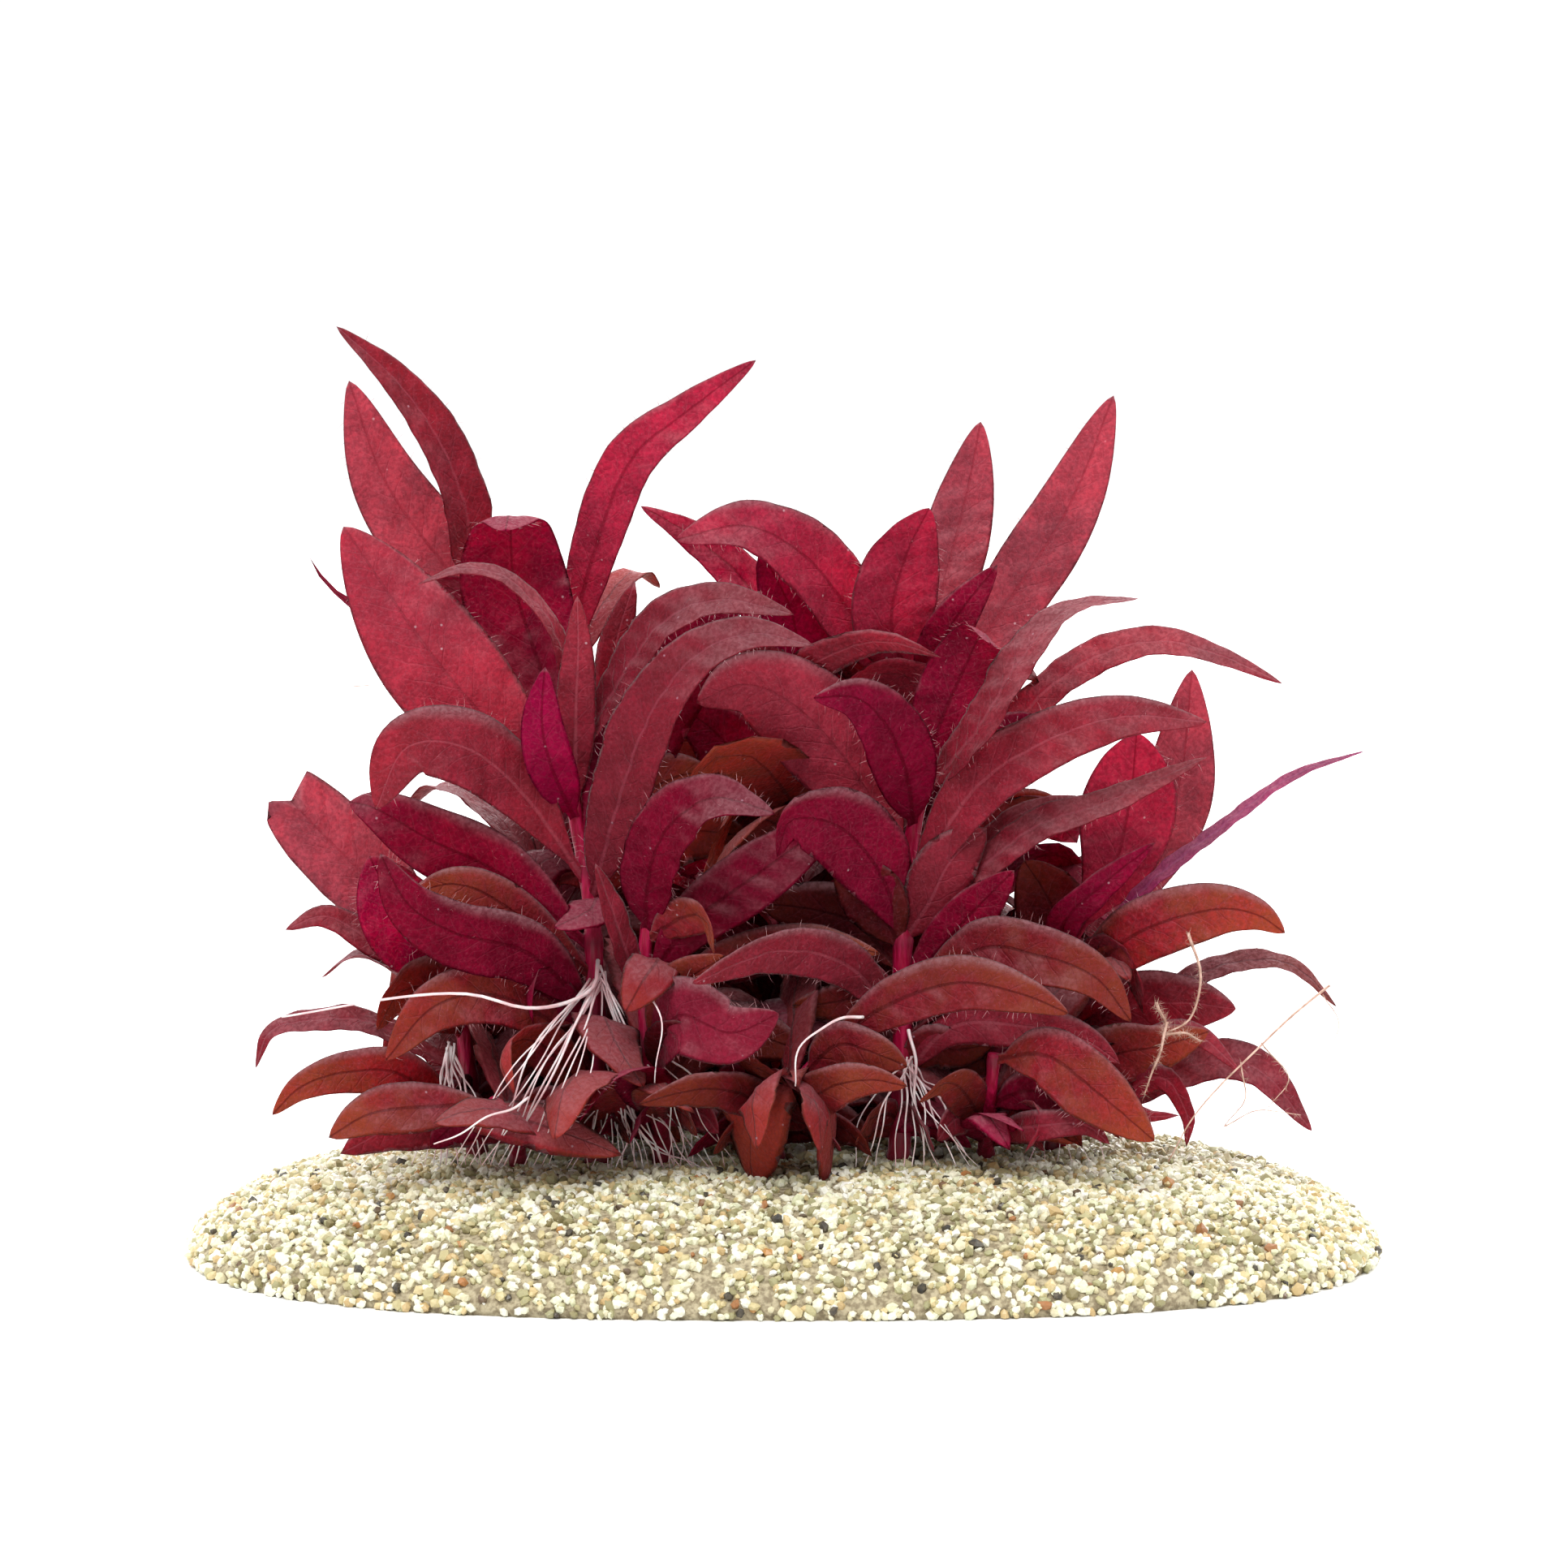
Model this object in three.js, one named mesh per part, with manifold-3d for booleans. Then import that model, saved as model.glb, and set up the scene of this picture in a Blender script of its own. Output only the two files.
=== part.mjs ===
// A compact red aquarium plant rooted in a low heap of pale sand.
// Millimetres, +Z up. The origin is the middle of the heap's flat underside.
// Leaves and stems are described as they stand in the front view: how far across (to the right),
// how far up from the sand's top, and how far back, and place() turns that into the part's frame.

import * as THREE from "three";
import Module from "manifold-3d";
import { mergeVertices } from "three/addons/utils/BufferGeometryUtils.js";

// Sand heap
const HEAP_LENGTH = 147;
const HEAP_DEPTH = 100;
const HEAP_HEIGHT = 12;
const HEAP_CORNER_POWER = 2.6;
const HEAP_RINGS = [0.4, 0.68, 0.85, 0.95, 1];
const HEAP_FLATNESS = 4;
const HEAP_EDGE_POWER = 0.6;
const HEAP_SECTORS = 24;
const RIPPLE_HEIGHT = 0.35;
const RIPPLE_LENGTH = 17;

// Front view: seen from seven degrees above, one metre away, with the eye on the plant's middle
const VIEW_TILT = THREE.MathUtils.degToRad(7);
const VIEW_DISTANCE = 1000;
const EYE_LINE = 45.4;

// Planting
const ROOTED_DEPTH = 6;
const HOLE_GAP = 0.8;
const LEAF_GAP = 0.9;
const STEM_SIDES = 6;
const STEM_STEPS = 6;
const ROOT_SIDES = 4;
const ROOT_STEPS = 4;
const ROOT_TAPER = 0.5;
const HOLE_SIDES = 6;
const HOLE_DEPTH = 24;

// Leaves
const SATIN = 0.6;
const LEAF_THICKNESS = 0.8;
const PETIOLE_WIDTH = 1.3;
const PETIOLE_SHARE = 0.06;
const BULGE_POWER = 0.9;
const CUP_POWER = 1.5;
const DENSE_STATIONS = 28;
const LARGE_LEAF_SEGMENTS = 7;
const SMALL_LEAF_SEGMENTS = 4;
const LARGE_COLUMNS = [1, 0.5, 0, -0.5, -1];
const SMALL_COLUMNS = [1, 0, -1];
const UNDER_COLUMNS = [0];
const TORN_WIDTH = 0.72;
const SPREADING_WIDTH = 0.38;
const SPREADING_CUP = -0.15;
const SPREADING_WIDEST = 0.5;
// How far out a spreading leaf reaches, and how high: a level part and a part that grows with its place
const SPREADING_STEPS = [
  { reach: 0.35, level: 0.2, steep: 0.35 },
  { reach: 0.72, level: 0.22, steep: 0.65 },
  { reach: 1, level: 0, steep: 0.75 },
];

const TONES = {
  crimson: 0x9c1233,
  dusky: 0x7c2338,
  pale: 0xa33048,
  magenta: 0xa80d56,
  rust: 0x8c3a22,
  dark: 0x4c1a20,
  stem: 0x9a0c30,
  sand: 0xd8ceb0,
};

// name, points [across, up, back] from the sand to the tip, radius at the sand, radius at the tip
const STEMS = [
  ["left_stem",
    [[-23.1, 0, -8], [-23.2, 14, -7.5], [-23.8, 30, -6], [-25.8, 42, -4], [-26.6, 50, -3]],
    1.4, 0.8],
  ["centre_stem", [[-15, 0, -7], [-15.8, 5, -11], [-16.8, 12, -15], [-17.3, 22, -15], [-16.9, 28, -15]],
    1.3, 0.8],
  ["right_stem",
    [[14.3, 0, -7], [14.7, 13, -6.5], [14.6, 24, -6], [15.4, 36, -4], [17.2, 46, -3]], 1.5, 0.9],
  ["back_left_stem", [[-29, 0, 12], [-29, 22, 13], [-28, 44, 13], [-27, 62, 12]], 1.3, 0.8],
  ["back_centre_stem", [[-4, 0, 16], [-2, 18, 17], [2, 36, 16], [5, 52, 13]], 1.3, 0.8],
  ["back_right_stem", [[24, 0, 14], [23, 22, 15], [19, 42, 13], [15.5, 58, 9]], 1.4, 0.8],
  ["far_left_stem", [[-38, 0, 2], [-39, 9, 1], [-40, 18, 0], [-41, 24, -1]], 1.3, 0.8],
  ["far_right_stem", [[33, 0, 4], [33.5, 10, 5], [35, 19, 5], [35.5, 26, 4]], 1.3, 0.8],
  ["front_left_shoot", [[-33, 0, -8], [-34, 3, -14], [-35, 5, -18], [-36, 6, -21]], 1.1, 0.7],
  ["front_mid_shoot", [[-1, 0, -6], [-0.6, 3, -11], [0.6, 6.5, -16], [5, 12.5, -15]], 1.1, 0.7],
  ["front_right_shoot", [[25, 0, -4], [25.2, 3, -9], [25.6, 7.5, -13.5], [26, 12, -14.5]], 1.1, 0.7],
  ["back_left_shoot", [[-15, 0, 29], [-15.5, 15, 31], [-16, 30, 32]], 1.2, 0.8],
  ["back_right_shoot", [[11, 0, 29], [11.5, 14, 31], [12, 27, 32]], 1.2, 0.8],
];

// name, stem, share of the stem's height, points [across, up, back] to the tip,
// width, roll at the base and further twist to the tip (degrees), cup, place of the widest part, tone
const LEAVES = [
  ["left_tall_leaf", "back_left_stem", 0.98,
    [[-37.5, 72, 13], [-39.2, 79.5, 12], [-42.2, 87.2, 11], [-47.4, 94.6, 10], [-54.8, 101.4, 8]],
    6.8, 30, 5, 0.25, 0.45, "dusky"],
  ["left_pale_leaf", "back_left_stem", 0.86,
    [[-39.6, 69.5, 19], [-48.6, 82, 21], [-53.3, 94.8, 21]], 10.5, 0, 5, 0.1, 0.5, "pale"],
  ["left_big_leaf", "left_stem", 0.88,
    [[-33.6, 50, -8], [-43.1, 61, -8], [-54.1, 77, -5]], 14, 5, 5, -0.1, 0.5, "pale"],
  ["left_folded_leaf", "left_stem", 0.97,
    [[-30.1, 60, 2], [-33.1, 70, 4], [-33.6, 78, 1], [-34.2, 76.5, -4.5]],
    13.5, 0, 0, 0.15, 0.55, "crimson"],
  ["left_arched_leaf", "left_stem", 0.7,
    [[-32.6, 44.6, -10], [-39.6, 50, -15], [-46.6, 49.8, -17], [-50.3, 42.3, -18]],
    9.4, 15, 15, 0.2, 0.58, "dusky"],
  ["left_veined_leaf", "left_stem", 0.56,
    [[-34.6, 34, -8], [-43.6, 38.5, -9.5], [-50, 42.2, -9], [-53.6, 43.2, -6]],
    9, 5, 10, 0.1, 0.5, "crimson"],
  ["torn_leaf", "far_left_stem", 0.9,
    [[-48.6, 31, 6], [-56.6, 39, 8], [-62.1, 44.8, 9]], 11, 0, 0, -0.1, 0.6, "pale"],
  ["left_round_leaf", "far_left_stem", 0.98,
    [[-44.6, 25.5, -6], [-48.1, 30.5, -7], [-51.1, 36.5, -6]], 10.5, 0, 0, 0.1, 0.5, "magenta"],
  ["left_crimson_leaf", "left_stem", 0.42,
    [[-31.6, 24.5, -15], [-40.6, 27, -19], [-46.4, 30.6, -20], [-49.8, 36.8, -18.5]],
    8.6, 5, 10, 0.15, 0.5, "crimson"],
  ["left_brown_leaf", "far_left_stem", 0.66,
    [[-43.6, 20, -8], [-47.6, 19.6, -12], [-50.4, 15, -14]], 9, 20, 10, 0.1, 0.5, "rust"],
  ["left_orange_leaf", "left_stem", 0.34,
    [[-34.6, 19, -14], [-43, 18, -19], [-49.3, 11.2, -22]], 7.5, 25, 10, 0.15, 0.5, "rust"],
  ["left_whip_leaf", "far_left_stem", 0.5,
    [[-50.6, 15.6, 2], [-57.6, 16.2, 1], [-63.4, 14.8, 0], [-65.4, 10.2, 0]],
    4, 50, 0, 0.1, 0.45, "dusky"],
  ["left_low_leaf", "far_left_stem", 0.2,
    [[-46.6, 9, -11], [-53.6, 9.8, -14], [-59.6, 8, -15], [-63.4, 4.4, -15]],
    6, 25, 5, 0.1, 0.5, "rust"],
  ["front_folded_leaf", "left_stem", 0.14,
    [[-24.6, 9.3, -20.5], [-27.2, 7.2, -27.5], [-28.4, 1.4, -31.5]], 11, 10, 0, 0.35, 0.5, "rust"],
  ["centre_tall_leaf", "back_left_stem", 0.95,
    [[-23.2, 74, 8], [-18.8, 85, 6], [-11.6, 91.2, 5], [-3.4, 97.3, 4]],
    6.8, -15, -10, 0.2, 0.45, "crimson"],
  ["centre_purple_leaf", "back_centre_stem", 0.97,
    [[-2.6, 67, 17], [-9.6, 74.6, 18], [-17.6, 79.5, 18]], 6.5, 20, 10, 0.1, 0.45, "magenta"],
  ["centre_arching_leaf", "back_right_stem", 0.97,
    [[8.4, 66, 6], [2.9, 73, 3], [-4.6, 77, 0], [-13.4, 75.3, -2]],
    9.5, 10, 40, 0.15, 0.45, "crimson"],
  ["centre_upper_curl_leaf", "left_stem", 0.95,
    [[-19.6, 59, -9], [-14.4, 65.6, -12], [-7.6, 68, -14], [1.2, 66.2, -16]],
    6.6, -50, -5, 0.2, 0.45, "dusky"],
  ["centre_lower_curl_leaf", "left_stem", 0.66,
    [[-20.4, 43, -13], [-16.6, 53.5, -18], [-11, 61, -20], [-4, 63.8, -21], [3.7, 62.4, -21]],
    9, -20, -35, 0.15, 0.4, "dusky"],
  ["centre_broad_leaf", "right_stem", 0.8,
    [[8.4, 47, -6], [1.9, 54.5, -9], [-4.6, 57.6, -11], [-10.8, 55.4, -12]],
    12.5, 5, 10, -0.1, 0.5, "pale"],
  ["old_round_leaf", "back_centre_stem", 0.82,
    [[-2.2, 46.5, 6], [-6.8, 41, 2], [-10.4, 33, -2]], 15, 0, 0, 0.15, 0.5, "rust"],
  ["centre_front_leaf", "centre_stem", 0.96,
    [[-16.6, 34, -19], [-14.2, 40, -23], [-8.6, 43.6, -26], [-1.1, 41.7, -27]],
    9, -15, -40, 0.15, 0.45, "crimson"],
  ["centre_right_leaf", "centre_stem", 0.8,
    [[-11.6, 28, -17], [-3.6, 34, -15], [7.6, 42, -10.5]], 8, -5, -10, 0.1, 0.5, "crimson"],
  ["centre_grey_leaf", "right_stem", 0.4,
    [[8.4, 22.6, -14], [-0.6, 24.8, -22], [-11.4, 20.8, -28]], 6.4, 15, 5, 0.1, 0.5, "dusky"],
  ["centre_round_leaf", "centre_stem", 0.5,
    [[-13.2, 16.6, -22], [-6.6, 14.6, -25], [-0.6, 17, -25]], 9.5, 0, 0, 0.15, 0.5, "crimson"],
  ["right_tall_leaf", "back_right_stem", 0.9,
    [[28.4, 69, 13], [35.2, 80, 14], [40.4, 93, 13]], 9, -10, 0, 0.1, 0.5, "pale"],
  ["right_pale_leaf", "back_right_stem", 0.98,
    [[19.4, 69, 15], [22.4, 81, 19], [24.1, 89.8, 20]], 8.5, 0, 0, 0.1, 0.5, "pale"],
  ["right_heart_leaf", "back_right_stem", 0.99,
    [[13.2, 65, 3.5], [14.8, 73, 3], [17.8, 79.3, 1]], 10.5, 0, 0, 0.1, 0.5, "crimson"],
  ["right_swept_leaf", "right_stem", 0.96,
    [[23.8, 52, -12.5], [29, 60.5, -12.5], [35, 66.8, -9.5], [43.6, 68.2, -7]],
    7, -50, -5, 0.15, 0.45, "dusky"],
  ["right_folded_leaf", "right_stem", 0.99,
    [[18.9, 52, -6], [21.9, 59, -7], [24.2, 63.7, -9.5], [25.4, 62.6, -14]],
    9, -5, 0, 0.15, 0.5, "crimson"],
  ["right_front_leaf", "right_stem", 0.88,
    [[15, 46.8, -10], [12.6, 52.6, -15], [8.8, 56, -18], [3.6, 56, -20]],
    8.5, 5, 35, 0.15, 0.45, "magenta"],
  ["right_far_arch_leaf", "back_right_stem", 0.72,
    [[30.4, 55, 6], [38.4, 61, 4], [46.4, 62.9, 3], [54, 61, 2], [61.4, 57.7, 2]],
    5.4, -40, -10, 0.1, 0.4, "dusky"],
  ["right_long_leaf", "right_stem", 0.7,
    [[22.6, 43.6, -10], [31, 50, -13], [41.4, 53.6, -14], [52.1, 53, -13]],
    8, -25, -10, 0.1, 0.45, "dusky"],
  ["right_purple_tip_leaf", "right_stem", 0.64,
    [[23, 33.8, -8], [31, 40, -10], [40, 43.2, -11], [52.1, 48.7, -9]],
    5, -45, 0, 0.1, 0.42, "dusky"],
  ["right_back_leaf", "far_right_stem", 0.93,
    [[43.4, 35, 12], [48.4, 44.5, 14], [50.2, 59.5, 15]], 9.5, 0, 0, 0.1, 0.5, "pale"],
  ["right_round_leaf", "far_right_stem", 0.99,
    [[40.6, 35, 3], [42.6, 43.5, 4], [43.4, 51.8, 2]], 12, 0, 0, 0.1, 0.62, "crimson"],
  ["right_needle_leaf", "far_right_stem", 0.84,
    [[43.6, 31.6, -2], [53.4, 39.6, -3], [62.4, 46.2, -3], [71.6, 49.5, -4]],
    2.8, -60, 0, 0.1, 0.4, "magenta"],
  ["right_orange_leaf", "far_right_stem", 0.8,
    [[43.4, 26.8, -6], [52.4, 29.8, -9], [58, 29.4, -10], [61.9, 27, -10]],
    8, -15, -5, 0.1, 0.5, "rust"],
  ["right_brown_arch_leaf", "far_right_stem", 0.5,
    [[47.4, 19.8, 8], [55.4, 23.2, 8], [62.6, 23, 7], [68.4, 17.8, 6]],
    4.5, -60, 0, 0.1, 0.45, "dark"],
  ["right_dusky_leaf", "far_right_stem", 0.52,
    [[41.6, 17.4, 0], [48.6, 18.4, -2], [55.9, 17.6, -2]], 8.5, -10, 0, 0.1, 0.55, "dusky"],
  ["right_large_front_leaf", "front_mid_shoot", 0.97,
    [[12.4, 17.8, -19], [21.4, 20.8, -21], [29.4, 19.4, -22], [35.2, 17, -22.5]],
    7, -15, -5, 0.1, 0.5, "rust"],
  ["right_arching_leaf", "right_stem", 0.42,
    [[23.4, 24.6, -12], [31.4, 24.2, -15], [38.4, 21.5, -16.5], [42.9, 16, -17.5]],
    7.6, -30, -10, 0.15, 0.5, "rust"],
  ["right_low_big_leaf", "front_right_shoot", 0.97,
    [[32.4, 11.8, -20], [38.6, 7.4, -23], [45.9, 1.2, -25]], 8.5, -20, 5, 0.15, 0.5, "rust"],
  ["right_low_outer_leaf", "far_right_stem", 0.24,
    [[50.4, 10.4, 2], [58.4, 10.2, 0], [65.4, 2.4, -2]], 6, -45, 0, 0.1, 0.5, "dusky"],
];

// Small leaves that stay fused with the stem they grow from: the same columns, without a name
const SIDE_LEAVES = [
  ["left_stem", 0.9,
    [[-27.4, 62, -7], [-33.2, 70, -8], [-39, 71.8, -9], [-45.1, 69.9, -9]],
    3.4, 60, 0, 0.1, 0.45],
  ["left_stem", 0.86,
    [[-25.6, 55, -8], [-25.3, 62, -9], [-25.4, 68.5, -9]], 5, 0, 0, 0.1, 0.45],
  ["left_stem", 0.84,
    [[-28.6, 47.5, -12.5], [-29.8, 53, -14], [-29.4, 59.8, -14]], 6, 0, 0, 0.2, 0.5],
  ["left_stem", 0.5,
    [[-34.6, 30.4, -12.4], [-40.6, 33, -14], [-46.6, 31.6, -15]], 6, 10, 5, 0.1, 0.5],
  ["left_stem", 0.22,
    [[-30.2, 13.4, -15], [-34.8, 12.2, -20], [-33.4, 6.8, -23]], 6.5, 0, 0, 0.2, 0.5],
  ["left_stem", 0.35,
    [[-22.4, 16.4, -15.5], [-20.6, 12.8, -21.5], [-17.4, 7.8, -25]], 8.5, 0, 0, 0.1, 0.5],
  ["left_stem", 0.6,
    [[-23, 31, -11], [-24.4, 29.4, -15], [-28.4, 27.6, -17]], 6.5, 0, 0, 0.1, 0.5],
  ["far_left_stem", 0.86,
    [[-50, 25.4, 1], [-56.4, 29, 1], [-61.6, 27.4, 0]], 4, 30, 0, 0.1, 0.5],
  ["centre_stem", 0.72, [[-20.8, 28.4, -19.5], [-23.3, 35.6, -21]], 4, 40, 0, 0.2, 0.5],
  ["centre_stem", 0.6, [[-12.6, 20.4, -20], [-7.2, 24.2, -24]], 6.5, -10, 0, 0.1, 0.5],
  ["right_stem", 0.62,
    [[12, 34, -10], [7, 40, -15], [1, 41, -19], [-1, 36.4, -21]], 10.5, 25, 0, 0.2, 0.5],
  ["centre_stem", 0.85,
    [[-15.6, 23.6, -20], [-17.4, 21, -22.5], [-19.6, 17.2, -23.5]], 6.5, 20, 0, 0.1, 0.5],
  ["centre_stem", 0.95,
    [[-12.4, 29, -19], [-9.6, 28.6, -22], [-8.6, 24.2, -23.5]], 5.5, 0, 0, 0.1, 0.5],
  ["centre_stem", 0.7, [[-8, 23.4, -13], [3, 26, -11], [12, 24.4, -10.5]], 5, -10, 0, 0.1, 0.5],
  ["right_stem", 0.3,
    [[21, 15.4, -10], [30, 15.4, -13], [37, 13.8, -15], [41.6, 10.8, -15.5]],
    6, -30, 0, 0.1, 0.5],
  ["right_stem", 0.6, [[10.6, 32, -9], [6.4, 36.4, -12]], 8, 0, 0, 0.1, 0.5],
  ["right_stem", 0.5, [[22.4, 28.6, -10], [28.4, 34.8, -13]], 6.5, 0, 0, 0.2, 0.5],
  ["back_right_stem", 0.93, [[20.4, 64.5, -2], [26.2, 72.3, -2]], 6, -10, 0, 0.1, 0.5],
  ["back_right_stem", 0.58, [[24, 37, 3], [29, 41.6, 0], [36, 44, -1]], 3.8, -60, 0, 0.1, 0.5],
  ["back_right_stem", 0.5, [[21, 31, 6], [22.4, 37.4, 3]], 9, 0, 0, 0.1, 0.5],
  ["far_right_stem", 0.97, [[32.4, 31.6, -1], [29.6, 36, -4]], 9, 0, 0, 0.2, 0.5],
  ["far_right_stem", 0.9,
    [[34.4, 28, -5], [38.6, 32.4, -8], [45.7, 38.2, -8.5]], 4.5, -20, 0, 0.1, 0.5],
  ["far_right_stem", 0.3,
    [[40, 11.4, -3.5], [46.5, 13, -7], [52.6, 14.8, -8]], 8, -10, 0, 0.1, 0.5],
  ["far_right_stem", 0.2,
    [[31.4, 7.4, -4], [27, 8.6, -9.5], [19.8, 6.8, -12]], 6, 10, 0, 0.1, 0.5],
  ["far_right_stem", 0.4,
    [[45.4, 13.8, -4], [51, 14.4, -6], [56.4, 9.8, -7]], 3.6, -40, 0, 0.1, 0.5],
  ["far_right_stem", 0.16,
    [[45.4, 9, -6], [49.8, 5, -9], [49.9, 0.4, -10]], 3.6, -30, 0, 0.1, 0.5],
  ["front_left_shoot", 0.95,
    [[-44, 5.4, -22], [-51, 4.6, -24], [-56.4, 1.6, -24]], 6.5, 20, 0, 0.1, 0.5],
  ["front_left_shoot", 0.8,
    [[-33, 4.4, -26], [-38, 5, -29], [-43.4, 3.4, -30]], 7, 15, 0, 0.1, 0.5],
  ["front_mid_shoot", 0.7, [[-3.4, 7.6, -26], [-3.4, 0.2, -30]], 8, 0, 0, 0.15, 0.5],
  ["front_mid_shoot", 0.6, [[3.6, 6, -25], [4.6, -0.4, -28]], 7.6, 0, 0, 0.1, 0.5],
  ["front_mid_shoot", 0.4,
    [[4.5, 7.2, -21], [10, 8.8, -23], [15.3, 8, -22.5]], 6, -10, 0, 0.1, 0.5],
  ["front_mid_shoot", 0.85,
    [[6.4, 13, -19], [10.5, 12.4, -21], [15.3, 10.4, -20]], 6, -20, 0, 0.1, 0.5],
  ["front_mid_shoot", 0.5,
    [[-5, 7, -21], [-11, 7.6, -25], [-18, 5.8, -27]], 5.6, 10, 0, 0.1, 0.5],
  ["front_mid_shoot", 0.55,
    [[-3, 7.6, -19.5], [-6.8, 9.4, -21], [-9.4, 5.2, -23]], 4.6, 10, 0, 0.1, 0.5],
  ["front_right_shoot", 0.5, [[21, 8.4, -19], [16.6, 6, -22]], 5.6, 10, 0, 0.1, 0.5],
  ["front_right_shoot", 0.4, [[26.6, 4.2, -18.5], [29.8, 2.4, -21.5]], 6, 0, 0, 0.1, 0.5],
  ["front_right_shoot", 0.45,
    [[31, 3, -18.6], [37, 3.2, -21.4], [40.4, 0.8, -22.6]], 4, -30, 0, 0.1, 0.5],
  ["front_right_shoot", 0.7, [[31, 7.4, -16], [37, 3.4, -17]], 5.6, -20, 0, 0.1, 0.5],
  ["back_centre_stem", 0.34, [[5.4, 23, 9], [9.4, 29, 5]], 8, 0, 0, 0.1, 0.5],
  ["back_centre_stem", 0.22, [[-8.4, 17, 8], [-11.4, 23, 3]], 8, 0, 0, 0.1, 0.5],
  ["back_right_stem", 0.22, [[23.4, 16, 7], [19.4, 21, 2]], 8, 0, 0, 0.1, 0.5],
  ["back_centre_stem", 0.9, [[-4, 48, 8], [-10, 53, 4], [-14, 55, 2]], 9, 0, 0, 0.1, 0.5],
  ["back_centre_stem", 0.98, [[5, 56, 13], [6.6, 61.6, 12], [8, 67, 11.5]], 8.5, 0, 0, 0.1, 0.5],
  ["back_centre_stem", 0.95, [[-0.6, 55, 10], [-2.6, 60, 8], [-3.4, 65, 6]], 8, 0, 0, 0.1, 0.5],
  ["left_stem", 0.8, [[-20, 42, -4], [-14, 46, -3], [-9, 47, -2]], 8, 0, 0, 0.1, 0.5],
  ["back_left_stem", 0.6, [[-23, 38, 9], [-17, 42, 6], [-11, 43, 4]], 9, 0, 0, 0.1, 0.5],
  ["back_left_stem", 0.35, [[-23, 22, 14], [-18, 26, 15], [-13, 25, 15]], 8, 0, 0, 0.1, 0.5],
  ["back_centre_stem", 0.48, [[-6, 28, 12], [-10, 33, 9]], 8, 0, 0, 0.1, 0.5],
];

// Spreading leaves on the far side, also fused: stem, share of its height,
// heading (degrees from +X, 90 is straight back), length
const SPREADING_LEAVES = [
  ["back_left_stem", 0.42, 80, 21],
  ["back_left_stem", 0.54, 150, 22],
  ["back_left_stem", 0.68, 60, 22],
  ["back_left_stem", 0.8, 120, 20],
  ["back_left_stem", 0.92, 45, 17],
  ["back_centre_stem", 0.46, 130, 21],
  ["back_centre_stem", 0.58, 40, 20],
  ["back_centre_stem", 0.7, 95, 22],
  ["back_centre_stem", 0.84, 160, 17],
  ["back_centre_stem", 0.93, 60, 18],
  ["back_right_stem", 0.24, 40, 17],
  ["back_right_stem", 0.4, 85, 20],
  ["back_right_stem", 0.52, 20, 20],
  ["back_right_stem", 0.64, 110, 21],
  ["back_right_stem", 0.8, 65, 20],
  ["back_left_shoot", 0.5, 160, 16],
  ["back_left_shoot", 0.78, 100, 16],
  ["back_left_shoot", 0.97, 200, 14],
  ["back_right_shoot", 0.55, 60, 16],
  ["back_right_shoot", 0.8, 95, 15],
  ["back_right_shoot", 0.97, 20, 14],
  ["far_left_stem", 0.35, 130, 18],
  ["far_left_stem", 0.62, 175, 18],
  ["far_right_stem", 0.3, 75, 18],
  ["far_right_stem", 0.62, 40, 18],
];

// Thick roots on the stems: stem, share of height, points to the root's end, radius
const ROOTS = [
  ["left_stem", 0.24, [[-28, 9, -9], [-30, 2.5, -11]], 0.35],
  ["left_stem", 0.2, [[-25, 7, -12], [-26.4, 2.4, -13]], 0.35],
  ["right_stem", 0.24, [[17.2, 8, -10], [18.6, 2.4, -12]], 0.35],
  ["right_stem", 0.2, [[13.4, 6, -11], [12.2, 2.4, -12]], 0.35],
];

const FRONT = new THREE.Vector3(0, 1, 0);
const wasm = await Module();
wasm.setup();

// A point of the front view in the part's frame: what stands further back looks smaller and higher.
function place([across, up, back]) {
  const spread = 1 + back / VIEW_DISTANCE;
  const rise = (up - EYE_LINE) * spread - back * Math.sin(VIEW_TILT);
  return new THREE.Vector3(across * spread, back, HEAP_HEIGHT + (EYE_LINE + rise) / Math.cos(VIEW_TILT));
}

function routeThrough(points) {
  return new THREE.CatmullRomCurve3(points, false, "catmullrom", 0.5);
}

// A closed body from rings of points that run anticlockwise about the way they go.
// It ends in a flat cap, or in a point when apex is given.
function bodyFromRings(rings, apex) {
  const count = rings[0].length;
  const corners = rings.flat();
  const faces = [];
  for (let i = 1; i < count - 1; i += 1) {
    faces.push(0, i + 1, i);
  }
  for (let ring = 0; ring < rings.length - 1; ring += 1) {
    for (let i = 0; i < count; i += 1) {
      const here = ring * count + i;
      const next = ring * count + ((i + 1) % count);
      faces.push(here, next, next + count, here, next + count, here + count);
    }
  }
  const last = (rings.length - 1) * count;
  if (apex) {
    corners.push(apex);
    for (let i = 0; i < count; i += 1) {
      faces.push(last + i, last + ((i + 1) % count), corners.length - 1);
    }
  } else {
    for (let i = 1; i < count - 1; i += 1) {
      faces.push(last, last + i, last + i + 1);
    }
  }
  const body = new THREE.BufferGeometry().setFromPoints(corners);
  body.setIndex(faces);
  return body;
}

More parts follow.
